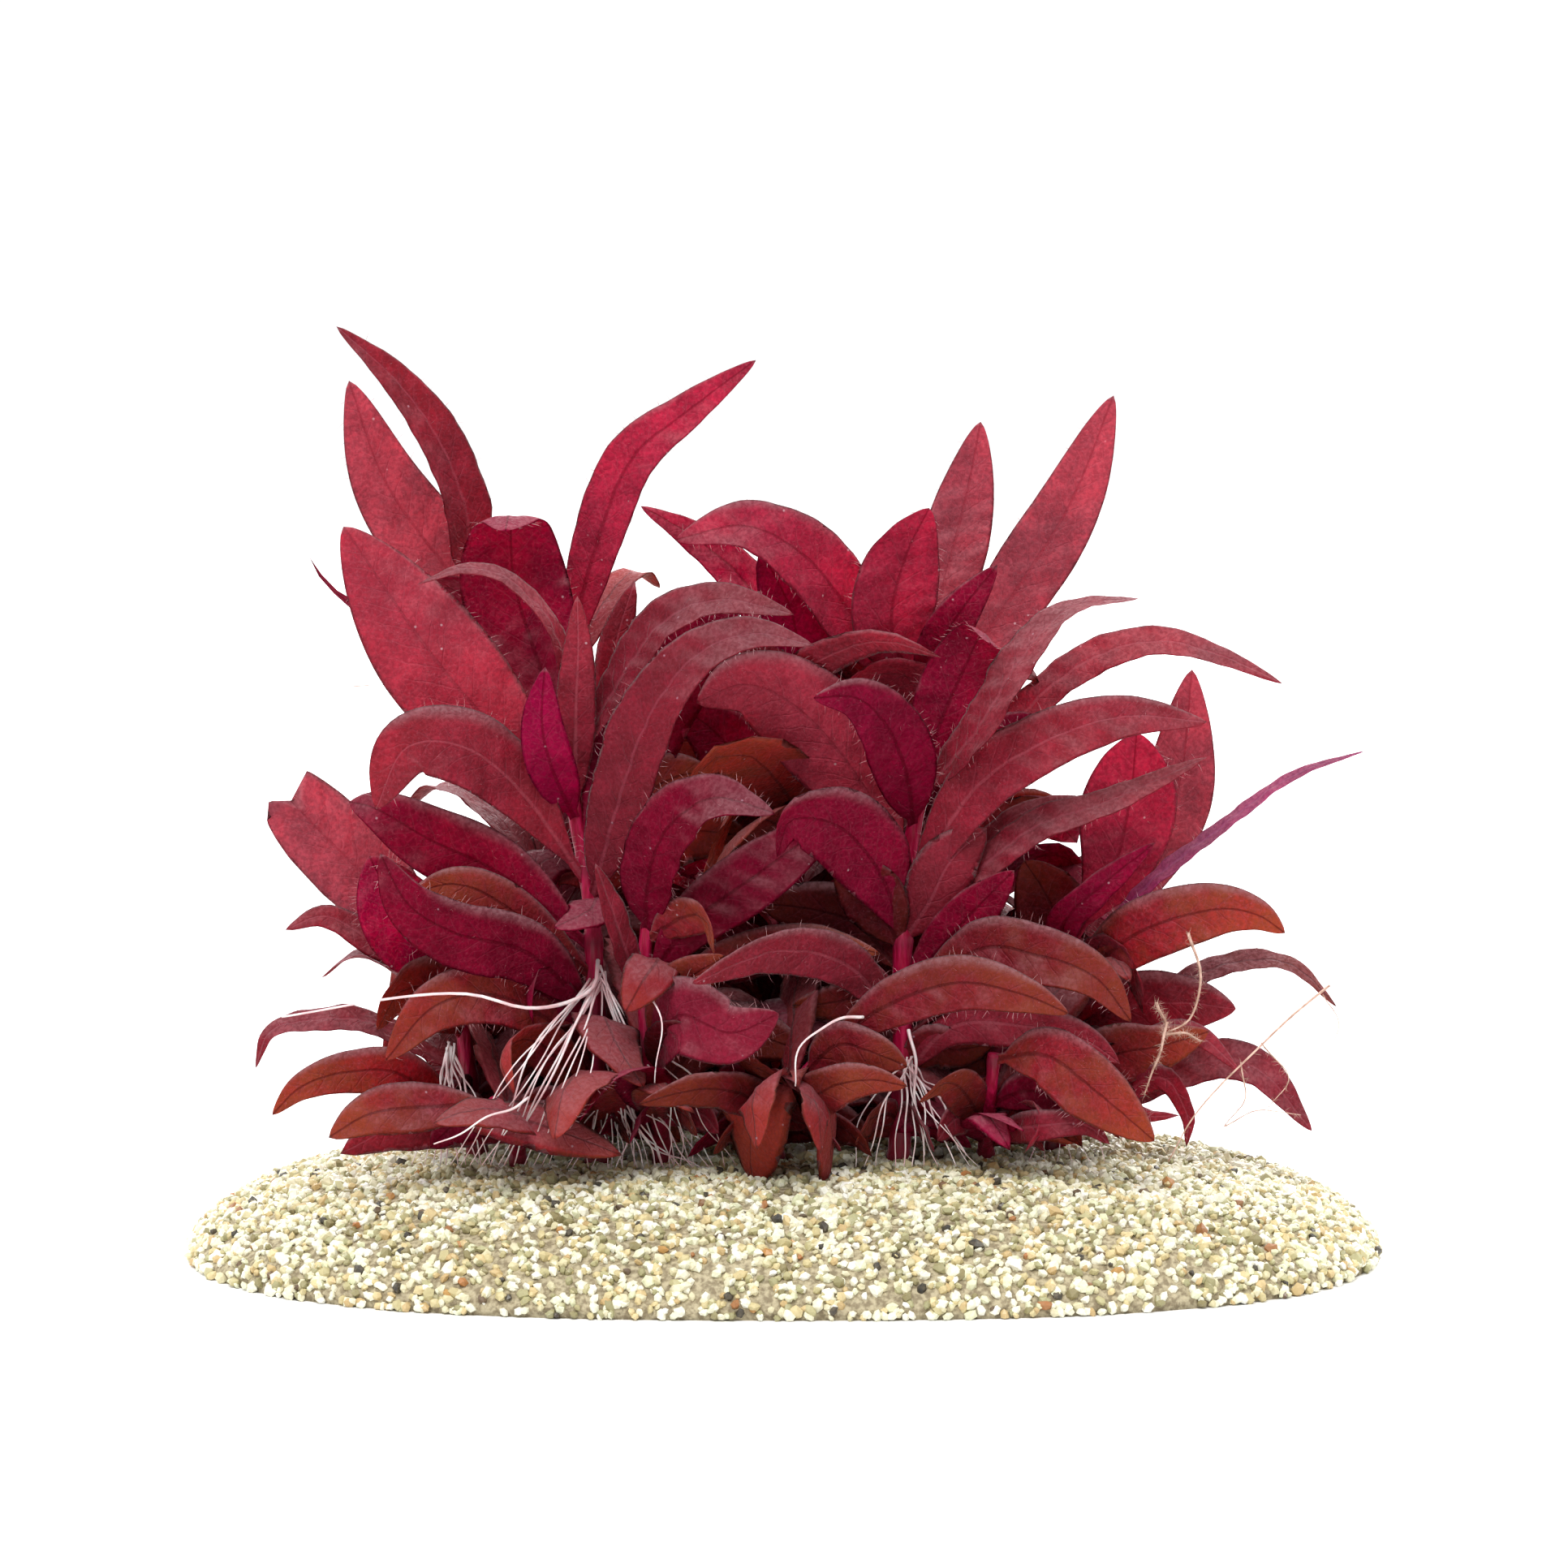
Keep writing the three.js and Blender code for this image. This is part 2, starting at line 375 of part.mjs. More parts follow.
// A round tapering rod along a route, with a blunt point.
function rod(route, radiusAt, sides, steps) {
  const rings = [];
  let side = new THREE.Vector3(1, 0, 0);
  for (let step = 0; step <= steps; step += 1) {
    const share = step / steps;
    const centre = route.getPointAt(share);
    const along = route.getTangentAt(share);
    side = side.clone().addScaledVector(along, -side.dot(along)).normalize();
    const across = new THREE.Vector3().crossVectors(along, side);
    const ring = [];
    for (let i = 0; i < sides; i += 1) {
      const turn = (2 * Math.PI * i) / sides;
      ring.push(centre.clone()
        .addScaledVector(side, radiusAt(share) * Math.cos(turn))
        .addScaledVector(across, radiusAt(share) * Math.sin(turn)));
    }
    rings.push(ring);
  }
  const tip = route.getPointAt(1).addScaledVector(route.getTangentAt(1), radiusAt(1));
  return bodyFromRings(rings, tip);
}

// Half of a leaf's width at a share of its length: a narrow stalk, then a blade that is a sine
// bulge with its widest part at the given share.
function halfWidth(share, width, widest, torn) {
  const along = Math.max(0, (share - PETIOLE_SHARE) / (1 - PETIOLE_SHARE));
  const power = Math.log(0.5) / Math.log(widest);
  const bulge = Math.sin(Math.PI * Math.min(1, along) ** power) ** BULGE_POWER;
  const blade = torn && along > widest ? TORN_WIDTH + (1 - TORN_WIDTH) * bulge : bulge;
  const stalk = (PETIOLE_WIDTH / 2) * (1 - along);
  return Math.max(stalk, (width / 2) * blade);
}

// A leaf: its midrib is the route, its side vector is carried along without twisting and then turned
// by the twist, its margins are lifted by the cup, and it is thickest at the midrib.
function leafBody(points, firstSide, leaf, large) {
  const { width, twist, cup, widest, torn } = leaf;
  const route = routeThrough(points);
  const segments = large ? LARGE_LEAF_SEGMENTS : SMALL_LEAF_SEGMENTS;
  const columns = large ? LARGE_COLUMNS : SMALL_COLUMNS;
  const keep = DENSE_STATIONS / segments;
  const rings = [];
  let side = firstSide.clone();
  for (let station = 0; station <= DENSE_STATIONS; station += 1) {
    const share = station / DENSE_STATIONS;
    const along = route.getTangentAt(share);
    side = side.clone().addScaledVector(along, -side.dot(along)).normalize();
    const last = station === DENSE_STATIONS;
    if (station % keep === 0 && (!last || torn)) {
      const turned = side.clone().applyAxisAngle(along, THREE.MathUtils.degToRad(twist) * share);
      const facing = new THREE.Vector3().crossVectors(along, turned);
      const half = halfWidth(share, width, widest, torn);
      const at = (column, thick) => route.getPointAt(share)
        .addScaledVector(turned, half * column)
        .addScaledVector(facing, cup * half * Math.abs(column) ** CUP_POWER
          + (thick * LEAF_THICKNESS * (1 - column ** 2)) / 2);
      const upper = columns.map((column) => at(column, 1));
      const under = UNDER_COLUMNS.map((column) => at(column, -1));
      rings.push([...upper, ...under]);
    }
  }
  return bodyFromRings(rings, torn ? null : route.getPointAt(1));
}

function sideFromRoll(points, roll) {
  const along = routeThrough(points).getTangentAt(0);
  const flat = new THREE.Vector3().crossVectors(along, FRONT).normalize();
  return flat.applyAxisAngle(along, THREE.MathUtils.degToRad(roll));
}

function stemRoute(points) {
  const above = points.map(place);
  const planted = above[0].clone();
  planted.z = HEAP_HEIGHT - ROOTED_DEPTH;
  return routeThrough([planted, ...above]);
}

// The place where something leaves a stem: clear of it by the gap, on the side it heads for.
function leavesStem(stem, share, towards, gap) {
  const from = stem.route.getPointAt(share);
  const along = stem.route.getTangentAt(share);
  const heading = towards.clone().sub(from);
  heading.addScaledVector(along, -heading.dot(along)).normalize();
  return from.addScaledVector(heading, stem.radiusAt(share) + gap);
}

const joined = (geometry) => {
  geometry.deleteAttribute("normal");
  geometry.deleteAttribute("uv");
  const merged = mergeVertices(geometry);
  return new wasm.Manifold(new wasm.Mesh({
    numProp: 3,
    vertProperties: new Float32Array(merged.attributes.position.array),
    triVerts: new Uint32Array(merged.index.array),
  }));
};

const fromSolid = (solid) => {
  const mesh = solid.getMesh();
  const geometry = new THREE.BufferGeometry();
  geometry.setAttribute("position", new THREE.BufferAttribute(new Float32Array(mesh.vertProperties), 3));
  geometry.setIndex(new THREE.BufferAttribute(new Uint32Array(mesh.triVerts), 1));
  return geometry;
};

// The sand heap: superellipse rings that rise to a flat-topped mound with low ripples.
function heapBody() {
  const rings = HEAP_RINGS.map((reach) => {
    const ring = [];
    for (let i = 0; i < HEAP_SECTORS; i += 1) {
      const turn = (2 * Math.PI * i) / HEAP_SECTORS;
      const cos = Math.cos(turn);
      const sin = Math.sin(turn);
      const x = (HEAP_LENGTH / 2) * reach * Math.sign(cos) * Math.abs(cos) ** (2 / HEAP_CORNER_POWER);
      const y = (HEAP_DEPTH / 2) * reach * Math.sign(sin) * Math.abs(sin) ** (2 / HEAP_CORNER_POWER);
      const ripple = Math.sin(x * 2 * Math.PI / RIPPLE_LENGTH) * Math.cos(y * 2 * Math.PI / RIPPLE_LENGTH);
      const mound = HEAP_HEIGHT * (1 - reach ** HEAP_FLATNESS) ** HEAP_EDGE_POWER;
      ring.push(new THREE.Vector3(x, y, mound + RIPPLE_HEIGHT * ripple * (1 - reach)));
    }
    return ring;
  });
  return bodyFromRings([...rings].reverse(), new THREE.Vector3(0, 0, HEAP_HEIGHT));
}

const stems = new Map(STEMS.map(([name, points, base, tip]) => {
  const radiusAt = (share) => THREE.MathUtils.lerp(base, tip, share);
  return [name, { route: stemRoute(points), radiusAt, base, growth: [] }];
}));

const group = new THREE.Group();
function addMesh(name, geometry, tone) {
  const finish = new THREE.MeshStandardMaterial({ color: TONES[tone], roughness: SATIN, metalness: 0 });
  const mesh = new THREE.Mesh(geometry, finish);
  mesh.name = name;
  group.add(mesh);
}

for (const [name, stemName, share, points, width, roll, twist, cup, widest, tone] of LEAVES) {
  const route = points.map(place);
  route.unshift(leavesStem(stems.get(stemName), share, route[0], LEAF_GAP));
  const leaf = { width, twist, cup, widest, torn: name === "torn_leaf" };
  addMesh(name, leafBody(route, sideFromRoll(route, roll), leaf, true), tone);
}

for (const [stemName, share, points, width, roll, twist, cup, widest] of SIDE_LEAVES) {
  const stem = stems.get(stemName);
  const route = [stem.route.getPointAt(share), ...points.map(place)];
  const leaf = { width, twist, cup, widest };
  stem.growth.push(leafBody(route, sideFromRoll(route, roll), leaf, false));
}

// A spreading leaf rises from its stem and arches over; the higher it grows, the steeper it stands.
for (const [stemName, share, heading, length] of SPREADING_LEAVES) {
  const stem = stems.get(stemName);
  const turn = THREE.MathUtils.degToRad(heading);
  const out = new THREE.Vector3(Math.cos(turn), Math.sin(turn), 0);
  const base = stem.route.getPointAt(share);
  const steps = SPREADING_STEPS.map(({ reach, level, steep }) => base.clone()
    .addScaledVector(out, length * reach)
    .add(new THREE.Vector3(0, 0, length * (level + steep * share))));
  const route = [base, ...steps];
  const leaf = { width: length * SPREADING_WIDTH, twist: 0, cup: SPREADING_CUP, widest: SPREADING_WIDEST };
  stem.growth.push(leafBody(route, new THREE.Vector3(out.y, -out.x, 0), leaf, false));
}

for (const [stemName, share, points, radius] of ROOTS) {
  const stem = stems.get(stemName);
  const route = routeThrough([stem.route.getPointAt(share), ...points.map(place)]);
  const radiusAt = (along) => radius * (1 - ROOT_TAPER * along);
  stem.growth.push(rod(route, radiusAt, ROOT_SIDES, ROOT_STEPS));
}

let heap = joined(heapBody());
for (const [name, stem] of stems) {
  const foot = stem.route.getPointAt(0);
  const holeRadius = stem.base + HOLE_GAP;
  const hole = new THREE.CylinderGeometry(holeRadius, holeRadius, HOLE_DEPTH, HOLE_SIDES);
  hole.rotateX(Math.PI / 2);
  hole.translate(foot.x, foot.y, foot.z - HOLE_GAP + HOLE_DEPTH / 2);
  heap = heap.subtract(joined(hole));
  let body = joined(rod(stem.route, stem.radiusAt, STEM_SIDES, STEM_STEPS));
  for (const growth of stem.growth) {
    body = body.add(joined(growth));
  }
  addMesh(name, fromSolid(body), "stem");
}
addMesh("sand_bed", fromSolid(heap), "sand");

export default group;
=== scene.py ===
import bpy
import numpy as np
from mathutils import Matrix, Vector


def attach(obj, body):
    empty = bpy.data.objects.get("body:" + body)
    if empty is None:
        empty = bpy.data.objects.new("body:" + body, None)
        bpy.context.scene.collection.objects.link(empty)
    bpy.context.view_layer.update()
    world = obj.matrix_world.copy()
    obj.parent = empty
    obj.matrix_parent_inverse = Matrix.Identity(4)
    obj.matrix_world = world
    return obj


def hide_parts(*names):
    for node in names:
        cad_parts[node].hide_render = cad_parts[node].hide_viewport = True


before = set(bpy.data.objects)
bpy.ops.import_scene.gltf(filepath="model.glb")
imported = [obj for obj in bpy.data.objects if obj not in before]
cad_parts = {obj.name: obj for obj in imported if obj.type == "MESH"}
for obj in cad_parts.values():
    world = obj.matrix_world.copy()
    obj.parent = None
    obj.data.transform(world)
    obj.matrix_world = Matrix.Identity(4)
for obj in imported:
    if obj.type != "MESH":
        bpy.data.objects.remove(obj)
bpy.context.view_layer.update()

# Sand mound
# The body of the heap that the plant is rooted in: pale quartz sand, poured and levelled by hand.
# It lies a little under the loose grains and shows only in the gaps between them, in browns darker than
# the sand's own as painted shade in those gaps.
MM = 0.001
HEAP_LENGTH = 147
HEAP_DEPTH = 100
HEAP_HEIGHT = 12
HEAP_CORNER_POWER = 2.6
HEAP_FLATNESS = 4
HEAP_EDGE_POWER = 0.6
RIPPLE_HEIGHT = 0.35
RIPPLE_LENGTH = 17
MOUND_SINK = 0.5
MOUND_INSET = 0.99
MOUND_EDGE = 0.3
MOUND_RINGS = 40
MOUND_SECTORS = 160


def make_piece(name, body, material, smooth=True):
    """A mesh object from a body: points in millimetres, four-cornered faces, triangles and vector
    attributes. Its faces are turned so that the volume they close is positive."""
    points, quads, triangles, facts = body

    def swept(corners):
        """Six times the volume between some faces and the origin."""
        first = points[corners[:, 0]]
        return sum(
            np.einsum("ij,ij->i", first, np.cross(points[corners[:, k]], points[corners[:, k + 1]])).sum()
            for k in range(1, corners.shape[1] - 1)
        )
    if swept(quads) + swept(triangles) < 0:
        quads = quads[:, ::-1]
        triangles = triangles[:, ::-1]
    mesh = bpy.data.meshes.new(name)
    mesh.vertices.add(len(points))
    mesh.vertices.foreach_set("co", (points * MM).astype(np.float32).ravel())
    corners = np.concatenate([quads.ravel(), triangles.ravel()]).astype(np.int32)
    starts = np.concatenate([
        4 * np.arange(len(quads)),
        4 * len(quads) + 3 * np.arange(len(triangles)),
    ]).astype(np.int32)
    mesh.loops.add(len(corners))
    mesh.loops.foreach_set("vertex_index", corners)
    mesh.polygons.add(len(starts))
    mesh.polygons.foreach_set("loop_start", starts)
    mesh.update(calc_edges=True)
    mesh.polygons.foreach_set("use_smooth", np.full(len(starts), smooth))
    for key, values in facts.items():
        layer = mesh.attributes.new(key, "FLOAT_VECTOR", "POINT")
        layer.data.foreach_set("vector", values.astype(np.float32).ravel())
    mesh.materials.append(material)
    piece = bpy.data.objects.new(name, mesh)
    bpy.context.scene.collection.objects.link(piece)
    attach(piece, "root")
    return piece


def feed(tree, socket, value):
    """Links a socket to another node's output, or sets its value."""
    if isinstance(value, bpy.types.NodeSocket):
        tree.links.new(value, socket)
    else:
        socket.default_value = value


def add_node(tree, kind, *values, **settings):
    """A node of a kind with its settings, its inputs fed in their order."""
    node = tree.nodes.new(kind)
    for key, setting in settings.items():
        setattr(node, key, setting)
    for socket, value in zip(node.inputs, values):
        feed(tree, socket, value)
    return node


def sums(tree, operation, *values):
    """One step of arithmetic."""
    return add_node(tree, "ShaderNodeMath", *values, operation=operation).outputs[0]


def times(tree, *values):
    """The product of two values."""
    return sums(tree, "MULTIPLY", *values)


def plus(tree, *values):
    """The sum of two values."""
    return sums(tree, "ADD", *values)


def less(tree, *values):
    """The first value less the second."""
    return sums(tree, "SUBTRACT", *values)


def ramp(tree, value, low, high, at_low=0.0, at_high=1.0):
    """A value carried smoothly from the range low to high into the range at_low to at_high."""
    node = add_node(tree, "ShaderNodeMapRange", value, low, high, at_low, at_high,
                    interpolation_type="SMOOTHSTEP")
    return node.outputs[0]


def mixed(tree, share, first, second, blend="MIX"):
    """Two colours mixed by a share."""
    node = tree.nodes.new("ShaderNodeMix")
    node.data_type = "RGBA"
    node.blend_type = blend
    for socket, value in zip((node.inputs[0], node.inputs[6], node.inputs[7]), (share, first, second)):
        feed(tree, socket, value)
    return node.outputs[2]


def clouds(tree, where, size, detail=2.0):
    """Noise whose patches are of that size in millimetres."""
    node = add_node(tree, "ShaderNodeTexNoise")
    feed(tree, node.inputs["Vector"], where)
    node.inputs["Scale"].default_value = 1 / (size * MM)
    node.inputs["Detail"].default_value = detail
    return node.outputs[0]


def rgb(red, green, blue):
    """A colour that hides what lies behind it."""
    return (red, green, blue, 1.0)


def new_material(name, roughness=0.5):
    """A material with a Principled surface, its tree and that surface."""
    material = bpy.data.materials.new(name)
    material.use_nodes = True
    surface = material.node_tree.nodes["Principled BSDF"]
    surface.inputs["Roughness"].default_value = roughness
    return material, material.node_tree, surface


def bumped(tree, surface, height, depth, strength=1.0):
    """Feeds a surface's normal from a height, whose full range stands for a depth in millimetres."""
    bump = add_node(tree, "ShaderNodeBump")
    bump.inputs["Strength"].default_value = strength
    bump.inputs["Distance"].default_value = depth * MM
    feed(tree, bump.inputs["Height"], height)
    feed(tree, surface.inputs["Normal"], bump.outputs[0])


def object_place(tree):
    """The place in the object's own coordinates."""
    return add_node(tree, "ShaderNodeTexCoord").outputs["Object"]


def mottled_material(name, roughness, patch, first, second, edges=(0.35, 0.65), relief=None):
    """A material of two colours in soft patches of a size, and its surface. The relief is the size of
    its bumps and how deep they are, in millimetres."""
    material, tree, surface = new_material(name, roughness)
    tint = ramp(tree, clouds(tree, object_place(tree), patch), *edges)
    feed(tree, surface.inputs["Base Color"], mixed(tree, tint, rgb(*first), rgb(*second)))
    if relief:
        bump_size, bump_depth = relief
        bumped(tree, surface, clouds(tree, object_place(tree), bump_size), bump_depth)
    return material, surface


def heap_reach(x, y):
    """How far a point is on its way from the heap's middle to its edge, along a superellipse."""
    along = (np.abs(x) * 2 / HEAP_LENGTH) ** HEAP_CORNER_POWER
    aside = (np.abs(y) * 2 / HEAP_DEPTH) ** HEAP_CORNER_POWER
    return (along + aside) ** (1 / HEAP_CORNER_POWER)


def heap_height(x, y):
    """The heap's surface: flat in the middle, falling ever faster to its edge, with low ripples."""
    reach = np.clip(heap_reach(x, y), 0, 1)
    ripple = np.sin(x * 2 * np.pi / RIPPLE_LENGTH) * np.cos(y * 2 * np.pi / RIPPLE_LENGTH)
    crown = (1 - reach ** HEAP_FLATNESS) ** HEAP_EDGE_POWER
    return HEAP_HEIGHT * crown + RIPPLE_HEIGHT * ripple * (1 - reach)


def mound_rings():
    """Superellipse rings from the middle of the top out to the edge, and the rim of the underside."""
    reach = (np.sin(np.linspace(0.03, 1, MOUND_RINGS) * np.pi / 2) * MOUND_INSET)[:, None]
    turn = np.linspace(0, 2 * np.pi, MOUND_SECTORS, endpoint=False)[None, :]
    power = 2 / HEAP_CORNER_POWER
    x = HEAP_LENGTH / 2 * reach * np.sign(np.cos(turn)) * np.abs(np.cos(turn)) ** power
    y = HEAP_DEPTH / 2 * reach * np.sign(np.sin(turn)) * np.abs(np.sin(turn)) ** power
    z = np.maximum(heap_height(x, y) - MOUND_SINK, MOUND_EDGE)
    grid = np.stack([x, y, z], -1)
    return np.concatenate([grid, grid[-1:] * [1, 1, 0]])


def closed_tube(rings):
    """A body of rings joined into a tube, each end closed by a fan to its middle."""
    count, around = rings.shape[:2]
    points = np.concatenate([rings.reshape(-1, 3), rings[0].mean(0)[None], rings[-1].mean(0)[None]])
    ring = np.arange(around)
    after = (ring + 1) % around
    level = np.arange(count - 1)[:, None] * around
    here = (level + ring).ravel()
    beside = (level + after).ravel()
    quads = np.stack([here, beside, beside + around, here + around], 1)
    last = (count - 1) * around
    first_fan = np.stack([after, ring, np.full(around, count * around)], 1)
    last_fan = np.stack([last + ring, last + after, np.full(around, count * around + 1)], 1)
    return points, quads, np.concatenate([first_fan, last_fan]), {}


# painted shade: the mound is coloured in browns darker than the sand, standing for the shade in the gaps
# between grains
mound_gap_shade_material = mottled_material(
    "sand with painted gap shade", 0.85, 0.7, (0.25, 0.20, 0.12), (0.50, 0.43, 0.28), relief=(0.9, 0.6))[0]
mound = make_piece("sand_mound", closed_tube(mound_rings()), mound_gap_shade_material)
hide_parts("sand_bed")

# Sand grains
# Loose quartz grains of about a millimetre, angular and slightly worn, most of them cream, some greenish
# or tan, a few black, brown or orange. They lie over the whole mound, each half sunk between its neighbours.
GRAIN_LENGTH = 0.76
GRAIN_SPREAD = 0.2
GRAIN_WEAR = 0.9
GRAIN_FLATNESS = (1.0, 0.82, 0.66)
GRAIN_CHIPPING = 0.2
GRAIN_SINK = 0.28
GRAIN_REST = 0.7
GRAIN_SEED = 40
GRAIN_FLAW = (0.95, 0.93, 0.86)
GRAIN_STAIN = (0.35, 0.27, 0.14)
EDGE_REACH = 0.999
STEEPEST = 12
SLOPE_STEP = 0.2
# name, how many, colours of the tones from 0 to 1
GRAIN_KINDS = [
    ("pale_grains", 8600, [(0.00, (0.66, 0.60, 0.36)), (0.25, (0.86, 0.83, 0.64)), (0.55, (0.93, 0.92, 0.80)),
                           (0.80, (0.74, 0.76, 0.50)), (1.00, (0.96, 0.95, 0.90))]),
    ("tan_grains", 5200, [(0.00, (0.24, 0.20, 0.09)), (0.30, (0.42, 0.41, 0.22)), (0.60, (0.62, 0.53, 0.28)),
                          (0.85, (0.74, 0.60, 0.32)), (1.00, (0.52, 0.35, 0.15))]),
    ("dark_grains", 460, [(0.00, (0.02, 0.02, 0.02)), (0.45, (0.06, 0.05, 0.04)), (0.70, (0.16, 0.09, 0.05)),
                          (0.85, (0.44, 0.17, 0.05)), (1.00, (0.50, 0.28, 0.08))]),
]
GOLDEN = (1 + 5 ** 0.5) / 2


def icosahedron():
    """Twelve corners of three golden rectangles, and the twenty triangles of corners one edge apart."""
    corners = np.array([
        (0, a, b * GOLDEN) for a in (-1, 1) for b in (-1, 1)
    ] + [
        (a, b * GOLDEN, 0) for a in (-1, 1) for b in (-1, 1)
    ] + [
        (a * GOLDEN, 0, b) for a in (-1, 1) for b in (-1, 1)
    ], float)
    near = np.abs(np.linalg.norm(corners[:, None] - corners[None], axis=2) - 2) < 0.01
    faces = np.array([
        (i, j, k) for i in range(12) for j in range(i + 1, 12) for k in range(j + 1, 12)
        if near[i, j] and near[j, k] and near[i, k]
    ])
    middle = corners[faces].mean(1)
    first, second, third = corners[faces.T]
    normal = np.cross(second - first, third - first)
    inward = (normal * middle).sum(1) < 0
    faces[inward] = faces[inward][:, ::-1]
    return corners / np.linalg.norm(corners[0]), faces


def random_turns(rng, count):
    """Rotation matrices from random unit quaternions."""
    drawn = rng.normal(size=(count, 4))
    w, x, y, z = (drawn / np.linalg.norm(drawn, axis=1, keepdims=True)).T
    return np.stack([
        np.stack([1 - 2 * (y * y + z * z), 2 * (x * y - z * w), 2 * (x * z + y * w)], -1),
        np.stack([2 * (x * y + z * w), 1 - 2 * (x * x + z * z), 2 * (y * z - x * w)], -1),
        np.stack([2 * (x * z - y * w), 2 * (y * z + x * w), 1 - 2 * (x * x + y * y)], -1),
    ], 1)


def grains_on_heap(rng, count):
    """Places on the heap, as dense on its steep edge as on its flat top: candidates are kept by the
    share of the steepest slope that they lie on."""
    x = rng.uniform(-HEAP_LENGTH / 2, HEAP_LENGTH / 2, 2 * STEEPEST * count)
    y = rng.uniform(-HEAP_DEPTH / 2, HEAP_DEPTH / 2, 2 * STEEPEST * count)
    rise_x = (heap_height(x + SLOPE_STEP, y) - heap_height(x - SLOPE_STEP, y)) / (2 * SLOPE_STEP)
    rise_y = (heap_height(x, y + SLOPE_STEP) - heap_height(x, y - SLOPE_STEP)) / (2 * SLOPE_STEP)
    surface = np.minimum(np.sqrt(1 + rise_x ** 2 + rise_y ** 2), STEEPEST)
    kept = (heap_reach(x, y) < EDGE_REACH) & (rng.uniform(0, STEEPEST, len(x)) < surface)
    chosen = np.flatnonzero(kept)[:count]
    return np.stack([x[chosen], y[chosen], heap_height(x[chosen], y[chosen])], 1)


def attribute_parts(tree, name):
    """The three numbers of one of a piece's own attributes."""
    vector = add_node(tree, "ShaderNodeAttribute", attribute_name=name).outputs["Vector"]
    return add_node(tree, "ShaderNodeSeparateXYZ", vector).outputs


def grain_material(name, tones):
    """Quartz of many tones, one to a grain, each with its own gloss and with darker flaws."""
    material, tree, surface = new_material(name)
    tone, gloss = attribute_parts(tree, "tone")[:2]
    colours = add_node(tree, "ShaderNodeValToRGB", tone)
    for spot, (at, colour) in enumerate(tones):
        stop = colours.color_ramp.elements[spot] if spot < 2 else colours.color_ramp.elements.new(at)
        stop.position = at
        stop.color = rgb(*colour)
    flaw = ramp(tree, clouds(tree, object_place(tree), 0.5, 3.0), 0.3, 0.75)
    shaded = mixed(tree, times(tree, flaw, 0.35), colours.outputs[0], rgb(*GRAIN_FLAW), "MULTIPLY")
    stained = mixed(tree, times(tree, flaw, 0.22), shaded, rgb(*GRAIN_STAIN))
    feed(tree, surface.inputs["Base Color"], stained)
    feed(tree, surface.inputs["Roughness"], ramp(tree, gloss, 0, 1, 0.25, 0.6))
    bumped(tree, surface, clouds(tree, object_place(tree), 0.25), 0.05)
    return material


for kind, (grain_name, grain_count, grain_tones) in enumerate(GRAIN_KINDS):
    grain_rng = np.random.default_rng(GRAIN_SEED + kind)
    corner, corner_faces = icosahedron()
    centre = grains_on_heap(grain_rng, grain_count)
    length = GRAIN_LENGTH * np.exp(grain_rng.normal(0, GRAIN_SPREAD, grain_count)) * GRAIN_WEAR
    chips = 1 + grain_rng.uniform(-GRAIN_CHIPPING, GRAIN_CHIPPING, (grain_count, 12, 1))
    shape = corner[None] * chips * np.array(GRAIN_FLATNESS) * length[:, None, None]
    shape = np.einsum("nij,nkj->nki", random_turns(grain_rng, grain_count), shape)
    centre[:, 2] = np.maximum(centre[:, 2] - GRAIN_SINK, length * GRAIN_REST)
    grain_points = (shape + centre[:, None]).reshape(-1, 3)
    grain_points[:, 2] = np.maximum(grain_points[:, 2], 0)
    grain_faces = (corner_faces[None] + 12 * np.arange(grain_count)[:, None, None]).reshape(-1, 3)
    tone = np.repeat(grain_rng.uniform(0, 1, (grain_count, 3)), 12, axis=0)
    make_piece(grain_name, (grain_points, np.zeros((0, 4), int), grain_faces, {"tone": tone}),
               grain_material(grain_name.replace("_", " "), grain_tones), smooth=False)

# Stems
# Smooth fleshy crimson stems, cut and pushed six millimetres into the sand. A leaf pair grows from each
# swollen, darker node, and the foot of a stem is ringed by the scars of leaves that it has lost.
ROOTED_DEPTH = 6
ROUTE_DETAIL = 60
STEM_SIDES = 16
STEM_STEPS = 80
NODE_SPACING = 9
NODE_SWELLING = 0.2
NODE_LENGTH = 1.1
SCAR_SPACING = 1.1
SCAR_DEPTH = 0.05
SCARRED_HEIGHT = 12
STREAK_STRETCH = 0.12
STEM_REDS = (0.26, 0.002, 0.026), (0.44, 0.006, 0.065)
NODE_RED = (0.12, 0.006, 0.02)
FOOT_RED = (0.16, 0.02, 0.02)
# Stems and leaves are described as they stand in the front view: how far across (to the right), how far
# up from the sand's top and how far back, in millimetres, seen by an eye a metre away.
VIEW_TILT = np.radians(7)
VIEW_DISTANCE = 1000
EYE_LINE = 45.4
